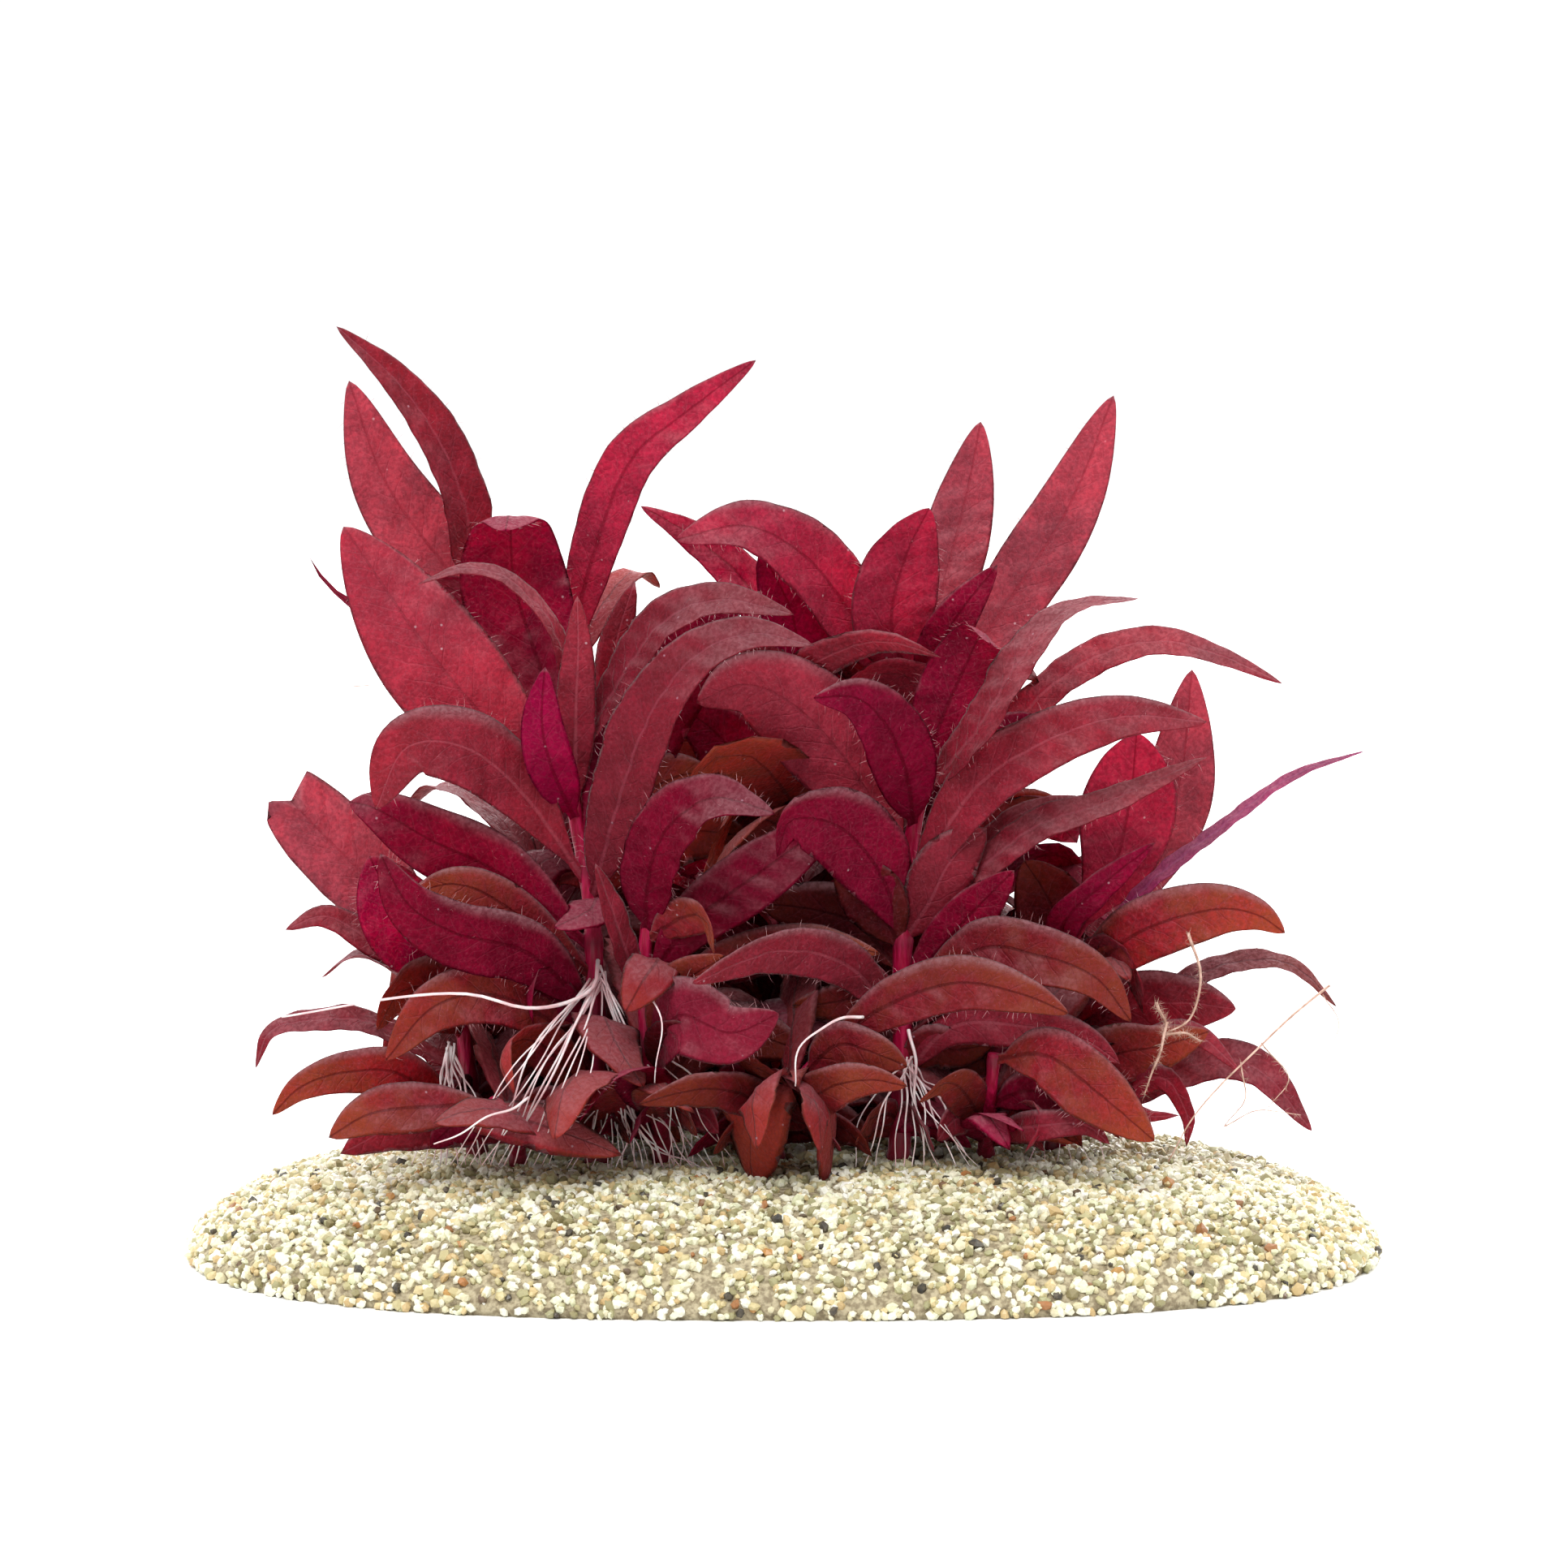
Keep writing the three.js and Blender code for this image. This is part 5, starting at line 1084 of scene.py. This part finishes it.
# the leaves that show between the front ones, in the columns of the small leaves
UNDER_LEAVES = [
    ("left_stem", 0.42, "dark", [[-30, 24, -6], [-40.6, 22.4, -7], [-48, 19, -7]], 7),
    ("left_stem", 0.38, "crimson", [[-32, 21, -9], [-38.6, 19.4, -12], [-46, 18.6, -13]], 6, 10),
    ("left_stem", 0.36, "crimson", [[-30, 21, -12], [-31.6, 19, -14], [-31, 15.6, -15]], 5),
    ("left_stem", 0.26, "dark", [[-28, 14, -10], [-32, 11, -14], [-33.4, 6.4, -16]], 5.6, 0, 0, 0.2),
    ("left_stem", 0.3, "dark", [[-27, 18, -2], [-28.6, 14, -3], [-29, 7, -4]], 9),
    ("centre_stem", 0.3, "crimson", [[-18, 9.6, -22], [-22, 8.4, -25], [-25.6, 3.4, -27]], 7, 0, 0, 0.2),
    ("centre_stem", 0.28, "rust", [[-16.6, 8, -22], [-13.6, 6.6, -24], [-11, 4.6, -25]], 4.6),
    ("centre_stem", 0.5, "dark", [[-14, 14.6, -20], [-6.6, 12, -22], [0.4, 8.4, -23]], 6),
    ("front_left_shoot", 0.5, "rust", [[-37, 4.4, -16], [-30, 3, -21], [-20, -0.6, -22]], 7),
    ("front_left_shoot", 0.4, "dusky", [[-41, 3.4, -14], [-48, 3, -17], [-55, -0.4, -18]], 7),
    ("left_stem", 0.93, "bright", [[-28, 59, 3], [-30, 63, 3.5], [-30.4, 68, 4]], 6),
    ("left_stem", 0.9, "bright", [[-21, 52, 0], [-18.6, 55.4, -1], [-15.4, 59, -2]], 5),
    ("back_centre_stem", 0.78, "amber",
     [[-1, 46, -4], [-4.6, 49, -13], [-9.6, 48, -15], [-13.4, 42, -15]], 10.5),
    ("back_centre_stem", 0.72, "amber", [[-2, 41, -5], [-6.4, 38.4, -10], [-10, 32, -11]], 12),
    ("left_stem", 0.9, "dusky", [[-21.4, 56, 0], [-20.6, 63, -1], [-18.3, 70.5, -2]], 5),
    ("left_stem", 0.78, "crimson", [[-20, 54, -4], [-14, 62.6, -6], [-5, 66.6, -7]], 7),
    ("left_stem", 0.7, "crimson", [[-19, 46, -2], [-14, 55, -4], [-6.4, 61.8, -5]], 8),
    ("back_centre_stem", 0.9, "bright", [[2, 60, 9], [0.8, 67, 6], [-3, 74.4, 4]], 9.4),
    ("back_centre_stem", 0.85, "dusky",
     [[1.5, 57.5, -4], [8.4, 62.4, -10], [14, 62.8, -13], [19.4, 60.8, -15]], 5.5, -30, 0, 0.1, 0.45),
    ("front_mid_shoot", 0.5, "amber",
     [[-1.6, 9.4, -18], [-3.9, 5.6, -20.5], [-3.9, -4.4, -16.5]], 12, 0, 0, 0.1, 0.55),
    ("front_mid_shoot", 0.45, "rust",
     [[2.2, 8.4, -18], [5.4, 4.8, -20.5], [5.6, -4.4, -16.5]], 12, 0, 0, 0.1, 0.55),
    ("right_stem", 0.2, "dark", [[13, 7, 0], [9, 6.6, 0], [4, 5, 0]], 6),
    ("back_left_stem", 0.7, "magenta",
     [[-46, 62, 10], [-54, 68.2, 9], [-56.6, 70.4, 9], [-57.8, 73.6, 9]], 2, -50, 0, 0.1, 0.6),
    ("back_centre_stem", 0.7, "crimson", [[0, 41, 7], [-6, 39.4, 7], [-13, 34, 6]], 9),
    ("back_right_stem", 0.9, "rosy", [[17, 57.4, 4], [12, 59, 2], [6, 56, 1]], 8),
    ("right_stem", 0.32, "dark", [[10, 14, -2], [4, 15, -2], [-2, 12, -2]], 9),
    ("back_left_stem", 0.7, "dark", [[-22, 46, 9], [-16, 50, 7], [-8, 51, 6]], 12),
    ("back_left_stem", 0.56, "rust", [[-21, 36, 8], [-14, 39.6, 5], [-4, 39, 3]], 10),
    ("right_stem", 0.45, "dark", [[22, 22, -2], [28, 21, -2], [37, 19, -2]], 9),
    ("centre_stem", 0.4, "dark", [[-10, 14, -10], [-4, 14.4, -10], [3, 12, -11]], 8),
    ("front_mid_shoot", 0.3, "crimson", [[-4, 3.4, -10], [-8, 2.6, -14], [-12, -0.8, -15]], 5),
    ("front_mid_shoot", 0.3, "dark", [[4, 3.4, -11], [8, 2.4, -15], [11, -0.8, -16]], 5),
    ("right_stem", 0.5, "dusky", [[10, 22, -10], [4.4, 24.4, -12], [-2, 26, -13]], 4.6, -10),
    ("right_stem", 0.42, "rust", [[10.6, 19, -8], [6, 18.4, -9], [1, 18, -9]], 5.6),
    ("right_stem", 0.55, "dark", [[9, 28, -4], [3, 30, -4], [-3, 30.6, -4]], 8),
    ("right_stem", 0.62, "dusky", [[18, 31, -8], [20.6, 36, -9], [25, 40, -9]], 8),
    ("right_stem", 0.34, "dark", [[17.4, 16.6, -6], [22, 14, -7], [27, 9, -7]], 10),
    ("right_stem", 0.3, "rust", [[18, 13, -8], [21.4, 12.6, -9], [26, 13.4, -9]], 6),
    ("front_right_shoot", 0.3, "crimson", [[25, 4.4, -18], [26.6, 2.4, -20], [28, 0, -21]], 6),
    ("front_right_shoot", 0.35, "dusky", [[31, 5.6, -17], [32, 3, -19], [29.8, -0.4, -20]], 2.6),
    ("front_right_shoot", 0.3, "dark", [[32, 5, -12], [35, 3, -13], [37, 0.4, -13]], 6),
    ("front_right_shoot", 0.6, "dusky", [[40, 6, -20], [44.6, 4.4, -21], [49, 4.4, -21]], 3),
    ("far_right_stem", 0.75, "dusky", [[40, 25, -2], [43, 22.4, -3], [44.4, 17, -3]], 6),
    ("back_right_stem", 0.75, "crimson", [[22, 46, 8], [26, 50.4, 6], [31, 54, 5]], 8),
    ("back_right_stem", 0.6, "rust", [[24, 38, 8], [29, 42, 6], [34, 43.6, 5]], 8),
]
# corners [across, up] of the part of the front view that the leaves fill without a gap
FILLED_OUTLINE = [
    (-41, -1), (-38, 14), (-49, 15), (-50, 29), (-33, 33), (-32, 44), (-41, 52), (-49, 62), (-53, 72),
    (-43, 74), (-37, 70), (-27, 66), (-24, 54), (-17, 52), (-10, 62), (-1, 62), (4, 70), (9, 74), (21, 78),
    (29, 72), (32, 57), (27, 48), (38, 46), (51, 52), (52, 42), (47, 34), (43, 24), (51, 20), (51, 9),
    (45, 2), (41, -1),
]


def in_view(points):
    """Where points of the part's frame stand in the front view: the reverse of place."""
    x, y, z = points.T
    spread = 1 + y / VIEW_DISTANCE
    rise = (z - HEAP_HEIGHT) * np.cos(VIEW_TILT) - EYE_LINE + y * np.sin(VIEW_TILT)
    return x / spread, rise / spread + EYE_LINE


def inside(outline, across, up):
    """Whether spots lie inside an outline: a line to the right of each crosses it an odd number of times."""
    corners = np.array(outline, float)
    x0, y0 = corners.T[:, :, None]
    x1, y1 = np.roll(corners, -1, axis=0).T[:, :, None]
    crosses = (y0 > up) != (y1 > up)
    at = x0 + (up - y0) * (x1 - x0) / np.where(y1 == y0, 1, y1 - y0)
    return (crosses & (across < at)).sum(0) % 2 == 1


def share_at(stem_height, height):
    """The share of a stem's length at a height above the sand."""
    return (ROOTED_DEPTH + height) / (stem_height + ROOTED_DEPTH)


def add_inner_leaf(route, side, width, cup, tones, depths):
    """Adds an inner leaf with a drawn tone, waves and painted shade: a depth that darkens its red."""
    tone = tones[inner_rng.integers(len(tones))]
    seed = inner_rng.integers(10000)
    depth = inner_rng.uniform(*depths)
    inner_leaves[tone].append(leaf_body(route, side, width, 0, cup, 0.5, seed, INNER_GRID, depth=depth))


def add_whorl_leaf(stem_name, share, direction):
    """Adds the first of a few drawn leaves that stays behind the front leaves and within the outline."""
    for attempt in range(INNER_TRIES):
        heading = direction + inner_rng.uniform(-INNER_TURN, INNER_TURN)
        length = inner_rng.uniform(*INNER_LENGTH)
        route, side = spreading_route(stem_name, share, heading, length)
        low = route[0, 2] - HEAP_HEIGHT < LOW_HEIGHT
        behind = (route[1:, 1] > (-LOW_FRONT if low else INNER_BACK)).all()
        if behind and inside(FILLED_OUTLINE, *in_view(route[1:])).all():
            ahead = route[1] - route[0]
            roll = np.radians(inner_rng.uniform(-INNER_ROLL, INNER_ROLL))
            side = turned(side, ahead / np.linalg.norm(ahead), roll)
            tones = LOW_TONES if low else INNER_TONES
            add_inner_leaf(route, side, length * INNER_WIDTH, INNER_CUP, tones, INNER_PAINTED_SHADES)
            break


inner_rng = np.random.default_rng(INNER_SEED)
inner_leaves = {tone: [] for tone in leaf_materials}
for number, (stem_name, share, tone, points, *shape) in enumerate(UNDER_LEAVES):
    body = grown_leaf(stem_name, share, points, UNDER_SEED + number, *shape, grid=INNER_GRID)
    inner_leaves[tone].append(body)
for stem_name, line in stem_routes.items():
    stem_height = line[-1, 2] - HEAP_HEIGHT
    first_heading = inner_rng.uniform(0, 360)
    for node in range(int(stem_height * INNER_TOP / INNER_SPACING)):
        share = share_at(stem_height, (node + INNER_START) * INNER_SPACING)
        for quarter in range(4):
            add_whorl_leaf(stem_name, share, first_heading + 45 * node + 90 * quarter)
for stem_name, line in stem_routes.items():
    stem_height = line[-1, 2] - HEAP_HEIGHT
    for heading in LYING_HEADINGS:
        if stem_name.startswith("front") and abs(heading - STRAIGHT_IN_FRONT) < LYING_SPARED:
            continue
        turn = np.radians(heading + inner_rng.uniform(-LYING_TURN, LYING_TURN))
        out = np.array([np.cos(turn), np.sin(turn), 0])
        length = inner_rng.uniform(*LYING_LENGTH)
        share = share_at(stem_height, min(inner_rng.uniform(*LYING_HEIGHT), stem_height * LYING_TOP))
        steps = np.array([(0, 0, 0)] + [length * (out * reach + (0, 0, up)) for reach, up in LYING_ARCH])
        route = stem_spot(stem_name, share) + steps
        side = rolled_side(route, inner_rng.uniform(-LYING_ROLL, LYING_ROLL))
        add_inner_leaf(route, side, length * LYING_WIDTH, LYING_CUP, LOW_TONES, LYING_PAINTED_SHADES)
leaf_pieces("inner", inner_leaves)

# Roots
# Pinkish white roots that grow from the stems' lower nodes into the open, hang down in tufts and
# reach into the sand. Each is a thin tapering thread, and the oldest one at the right is furred with hairs.
ROOT_SIDES = 6
ROOT_STEPS = 26
ROOT_TAPER = 0.55
ROOT_SEED = 11
SINGLE_SWAY = 0.35
TUFT_SWAY = 0.4
TUFT_START = 0.5
TUFT_BEND = 0.9
TUFT_RISE = 0.8
HAIRY_SWAY = 0.1
# points [across, up, back], radius
SINGLE_ROOTS = [
    ([(-23, 23.6, -9), (-23.6, 20.4, -14), (-27.4, 18.4, -20), (-32.6, 17.6, -25.5), (-39.6, 19, -27),
      (-51, 18.6, -25), (-62.1, 16.6, -22)], 0.28),
    ([(-31.6, 6.6, -27), (-37, 3.6, -33), (-43.4, 0.8, -34)], 0.18),
    ([(15.4, 15, -8), (16.4, 9, -12), (16.9, 3, -13), (17.4, -0.6, -14)], 0.24),
    ([(15.6, 10.8, -8), (18, 8.6, -11), (20.5, 6.6, -12)], 0.14),
    ([(16.4, 9, -8.5), (19, 6.4, -11), (22.6, -0.6, -14)], 0.2),
    ([(9.8, 16.6, -22), (5.4, 16, -26), (2.2, 13, -27.5), (1.4, 8, -27)], 0.2),
    ([(-17.6, 23, -15), (-16.4, 19, -22), (-15.4, 15, -24), (-16, 8.4, -25)], 0.16),
]
# start, first end, last end (each [across, up, back]), how far the middle bulges out, how many, radius
ROOT_TUFTS = [
    ((-23.3, 21, -9.6), (-41, -1.8, -18), (-29, -1.8, -18), 11, 12, 0.17),
    ((-22.4, 22, -9.6), (-22, -2, -13), (-12, -2, -13), 2, 7, 0.16),
    ((-21.6, 8, -12), (-27, -2.2, -14), (-9, -2.2, -14), 1, 16, 0.17),
    ((-41.4, 13, -6), (-46, -1.8, -12), (-36, -1.8, -12), 4, 10, 0.16),
    ((15.4, 11, -9), (8.6, -2, -15), (24, -2, -15), 3, 11, 0.15),
    ((-16, 12, -16), (-14, -2, -14), (-6, -2, -14), 1, 6, 0.13),
    ((34, 8, 2.6), (30, -1.4, -8), (40, -1.4, -8), 1, 6, 0.13),
    ((-4, 12, 18), (-9, -0.8, 21), (2, -0.8, 23), 1, 7, 0.14),
    ((23.4, 12, 15), (18, -0.8, 19), (29, -0.8, 20), 1, 7, 0.14),
    ((-28.8, 12, 13.4), (-34, -0.8, 17), (-23, -0.8, 18), 1, 7, 0.14),
]
# points [across, up, back], radius, how many hairs
HAIRY_ROOTS = [
    ([(49.9, 27, -12), (51.4, 22, -12), (50.4, 16.6, -13), (46.8, 14.4, -14)], 0.2, 150),
    ([(47.4, 16, -14), (46.4, 12, -15), (44.6, 7, -15)], 0.2, 150),
    ([(46.8, 14.4, -14), (49.4, 14.6, -14), (51.6, 13.6, -14)], 0.2, 150),
    ([(46, 18.4, -14), (47.2, 15.6, -14), (46.8, 14.4, -14)], 0.2, 150),
    ([(67.4, 20.5, -3), (60, 14.2, -10), (51.4, 5, -15), (47.6, -1.4, -16)], 0.17, 40),
    ([(66.6, 19.4, -3), (68.6, 15.4, -3.5), (66.8, 11, -4)], 0.07, 12),
    ([(56.5, 11, -12), (57, 6.4, -13), (54.5, 3, -14)], 0.1, 60),
    ([(59, 13.4, -10), (62.4, 9, -10.5), (60, 5.4, -11)], 0.09, 60),
    ([(54.5, 3, -14), (59, 5, -14), (64, 4.4, -13)], 0.08, 40),
    ([(-53, 57.4, 4), (-47.6, 57.6, 4), (-44, 56.6, 3)], 0.06, 0),
]


def thread(route, radius, sway, rng):
    """A thin rod along a route, tapering to its tip, set aside by two slow random sines."""
    line, ahead = even_route(route, ROOT_STEPS)
    share = np.linspace(0, 1, ROOT_STEPS + 1)[:, None]
    side = carried_side(ahead, (0.3, 1.0, 0.2))
    phase = rng.uniform(0, 2 * np.pi, 2)
    aside = side * np.sin(7 * share + phase[0]) + np.cross(ahead, side) * np.sin(9 * share + phase[1])
    line = line + sway * np.sin(np.pi * share) * aside
    return closed_tube(rod_rings(line, ahead, radius * (1 - ROOT_TAPER * share[:, 0]), ROOT_SIDES, side[0]))


root_rng = np.random.default_rng(ROOT_SEED)
threads = [thread(place(points), radius, SINGLE_SWAY, root_rng) for points, radius in SINGLE_ROOTS]
for start, first_end, last_end, bulge, count, radius in ROOT_TUFTS:
    for strand in range(count):
        part = (strand + root_rng.uniform(-0.4, 0.4)) / (count - 1)
        end = np.array(first_end) + (np.array(last_end) - np.array(first_end)) * part
        start_spot = np.array(start) + root_rng.normal(0, TUFT_START, 3)
        bend = (start_spot + end) / 2 + root_rng.normal(0, TUFT_BEND, 3) + (0, TUFT_RISE, -bulge)
        strand_radius = radius * root_rng.uniform(0.7, 1.2)
        threads.append(thread(place([start_spot, bend, end]), strand_radius, TUFT_SWAY, root_rng))
hairy = [
    (thread(place(points), radius, HAIRY_SWAY, root_rng), count) for points, radius, count in HAIRY_ROOTS
]

root_material, root_surface = mottled_material(
    "pale root", 0.38, 3.0, (0.90, 0.76, 0.76), (0.78, 0.50, 0.52), relief=(0.4, 0.03))
scatter_light(root_surface, 0.3, (0.0006, 0.0003, 0.0003))
make_piece("roots", joined_bodies(threads), root_material)

# Hairs
# Fine pale hairs: short down along the margins and upper faces of the large leaves, and the root
# hairs that fur the old roots at the right. Each is a bent three-sided spike.
HAIR_SEED = 23
HAIR_RADIUS = 0.02
HAIR_BEND = 0.22
MARGIN_HAIRS = 56
MARGIN_HAIR_LENGTH = (0.5, 1.4)
MARGIN_HAIR_SPREAD = 0.35
FACE_HAIRS = 24
FACE_HAIR_LENGTH = (0.3, 0.8)
FACE_HAIR_SPREAD = 0.3
FACE_HAIR_RADIUS = 0.6 * HAIR_RADIUS
ROOT_HAIR_LENGTH = (0.5, 1.3)


def unit(vectors):
    """Vectors of length one."""
    return vectors / np.linalg.norm(vectors, axis=1, keepdims=True)


def spikes(base, heading, lengths, radius, rng):
    """Three-sided spikes: a ring of three corners at the base, another past the middle, and the tip
    bent aside."""
    count = len(base)
    length = rng.uniform(*lengths, count)[:, None]
    heading = unit(heading)
    helper = np.where(np.abs(heading[:, 2:]) > 0.9, (1.0, 0, 0), (0, 0, 1.0))
    first = unit(np.cross(heading, helper))
    second = np.cross(heading, first)
    turn = np.array([0, 2, 4]) * np.pi / 3
    ring = first[:, None] * np.cos(turn)[None, :, None] + second[:, None] * np.sin(turn)[None, :, None]
    ring = radius * ring
    aside = rng.normal(0, HAIR_BEND, (count, 2))
    bend = first * aside[:, :1] + second * aside[:, 1:]
    middle = base + length * (0.55 * heading + 0.3 * bend)
    tip = base + length * (heading + bend)
    corners = np.concatenate([base[:, None] + ring, middle[:, None] + 0.7 * ring, tip[:, None]], 1)
    offset = 7 * np.arange(count)[:, None, None]
    walls = np.array([(0, 1, 4, 3), (1, 2, 5, 4), (2, 0, 3, 5)])
    ends = np.array([(3, 4, 6), (4, 5, 6), (5, 3, 6), (0, 2, 1)])
    return corners.reshape(-1, 3), (walls + offset).reshape(-1, 4), (ends + offset).reshape(-1, 3), {}


hair_rng = np.random.default_rng(HAIR_SEED)
hair_bodies = []
middle_column = LARGE_GRID[1]
for blade_points in large_blades:
    rings = blade_points[:-2].reshape(-1, 4 * middle_column, 3)
    station = hair_rng.integers(4, len(rings) - 1, MARGIN_HAIRS)
    edge = hair_rng.choice([0, 2 * middle_column], MARGIN_HAIRS)
    base = rings[station, edge]
    outward = unit(base - rings[station, middle_column])
    heading = outward + hair_rng.normal(0, MARGIN_HAIR_SPREAD, (MARGIN_HAIRS, 3))
    hair_bodies.append(spikes(base, heading, MARGIN_HAIR_LENGTH, HAIR_RADIUS, hair_rng))
    station = hair_rng.integers(6, len(rings) - 3, FACE_HAIRS)
    column = hair_rng.integers(2, 2 * middle_column - 2, FACE_HAIRS)
    base = rings[station, column]
    normal = unit(np.cross(rings[station + 1, column] - base, rings[station, column - 1] - base))
    heading = normal + hair_rng.normal(0, FACE_HAIR_SPREAD, (FACE_HAIRS, 3))
    hair_bodies.append(spikes(base, heading, FACE_HAIR_LENGTH, FACE_HAIR_RADIUS, hair_rng))
hair_material = mottled_material("plant hair", 0.4, 2.0, (0.74, 0.42, 0.44), (0.45, 0.16, 0.18))[0]
make_piece("leaf_hairs", joined_bodies(hair_bodies), hair_material)

fur_bodies = [body for body, count in hairy]
for body, count in hairy:
    base = body[0][hair_rng.integers(0, len(body[0]) - 2, count)]
    heading = hair_rng.normal(0, 1, (count, 3))
    fur_bodies.append(spikes(base, heading, ROOT_HAIR_LENGTH, HAIR_RADIUS, hair_rng))
fur_material = mottled_material(
    "old hairy root", 0.6, 1.2, (0.68, 0.45, 0.36), (0.45, 0.26, 0.19), relief=(0.3, 0.05))[0]
make_piece("hairy_roots", joined_bodies(fur_bodies), fur_material)

# Studio
# A plain pale floor without an edge in view, a white surround, a large soft light in front and above,
# and one behind that shines through the leaves.
FLOOR_SIDE = 40.0
bpy.ops.mesh.primitive_plane_add(size=FLOOR_SIDE)
floor = bpy.context.object
floor.name = "floor"
floor.data.materials.append(mottled_material(
    "pale floor", 0.8, 300.0, (0.92, 0.92, 0.92), (0.94, 0.94, 0.94), edges=(0.3, 0.7))[0])

FRONT_GLOW = 0.6
BACK_GLOW = 1.6
world = bpy.data.worlds.new("white surround")
world.use_nodes = True
surround = world.node_tree.nodes["Background"]
surround.inputs["Color"].default_value = rgb(1.0, 1.0, 1.0)
direction = add_node(world.node_tree, "ShaderNodeTexCoord").outputs["Generated"]
backwards = add_node(world.node_tree, "ShaderNodeSeparateXYZ", direction).outputs[1]
strength = ramp(world.node_tree, backwards, -1, 1, FRONT_GLOW, BACK_GLOW)
feed(world.node_tree, surround.inputs["Strength"], strength)
bpy.context.scene.world = world
# name, place (metres), size, watts
LIGHTS = [
    ("top_light", (-0.15, -0.6, 0.9), 0.6, 9.0),
    ("back_light", (0.15, 0.65, 0.55), 0.8, 7.0),
]
CAMERA_SPAN = 193.2
SENSOR = 36.0
look_at = Vector((0, 0, (HEAP_HEIGHT + EYE_LINE / np.cos(VIEW_TILT)) * MM))
for light_name, light_place, light_size, light_watts in LIGHTS:
    lamp = bpy.data.lights.new(light_name, "AREA")
    lamp.size = light_size
    lamp.energy = light_watts
    light = bpy.data.objects.new(light_name, lamp)
    light.location = light_place
    light.rotation_euler = (look_at - Vector(light_place)).to_track_quat("-Z", "Y").to_euler()
    light.visible_camera = False
    bpy.context.scene.collection.objects.link(light)

camera_data = bpy.data.cameras.new("camera")
camera_data.sensor_width = SENSOR
camera_data.lens = SENSOR * VIEW_DISTANCE / CAMERA_SPAN
camera = bpy.data.objects.new("camera", camera_data)
sight = Vector((0, -np.cos(VIEW_TILT), np.sin(VIEW_TILT)))
camera.location = look_at + sight * VIEW_DISTANCE * MM
camera.rotation_euler = (-sight).to_track_quat("-Z", "Y").to_euler()
bpy.context.scene.collection.objects.link(camera)
bpy.context.scene.camera = camera
bpy.context.scene.view_settings.view_transform = "Standard"
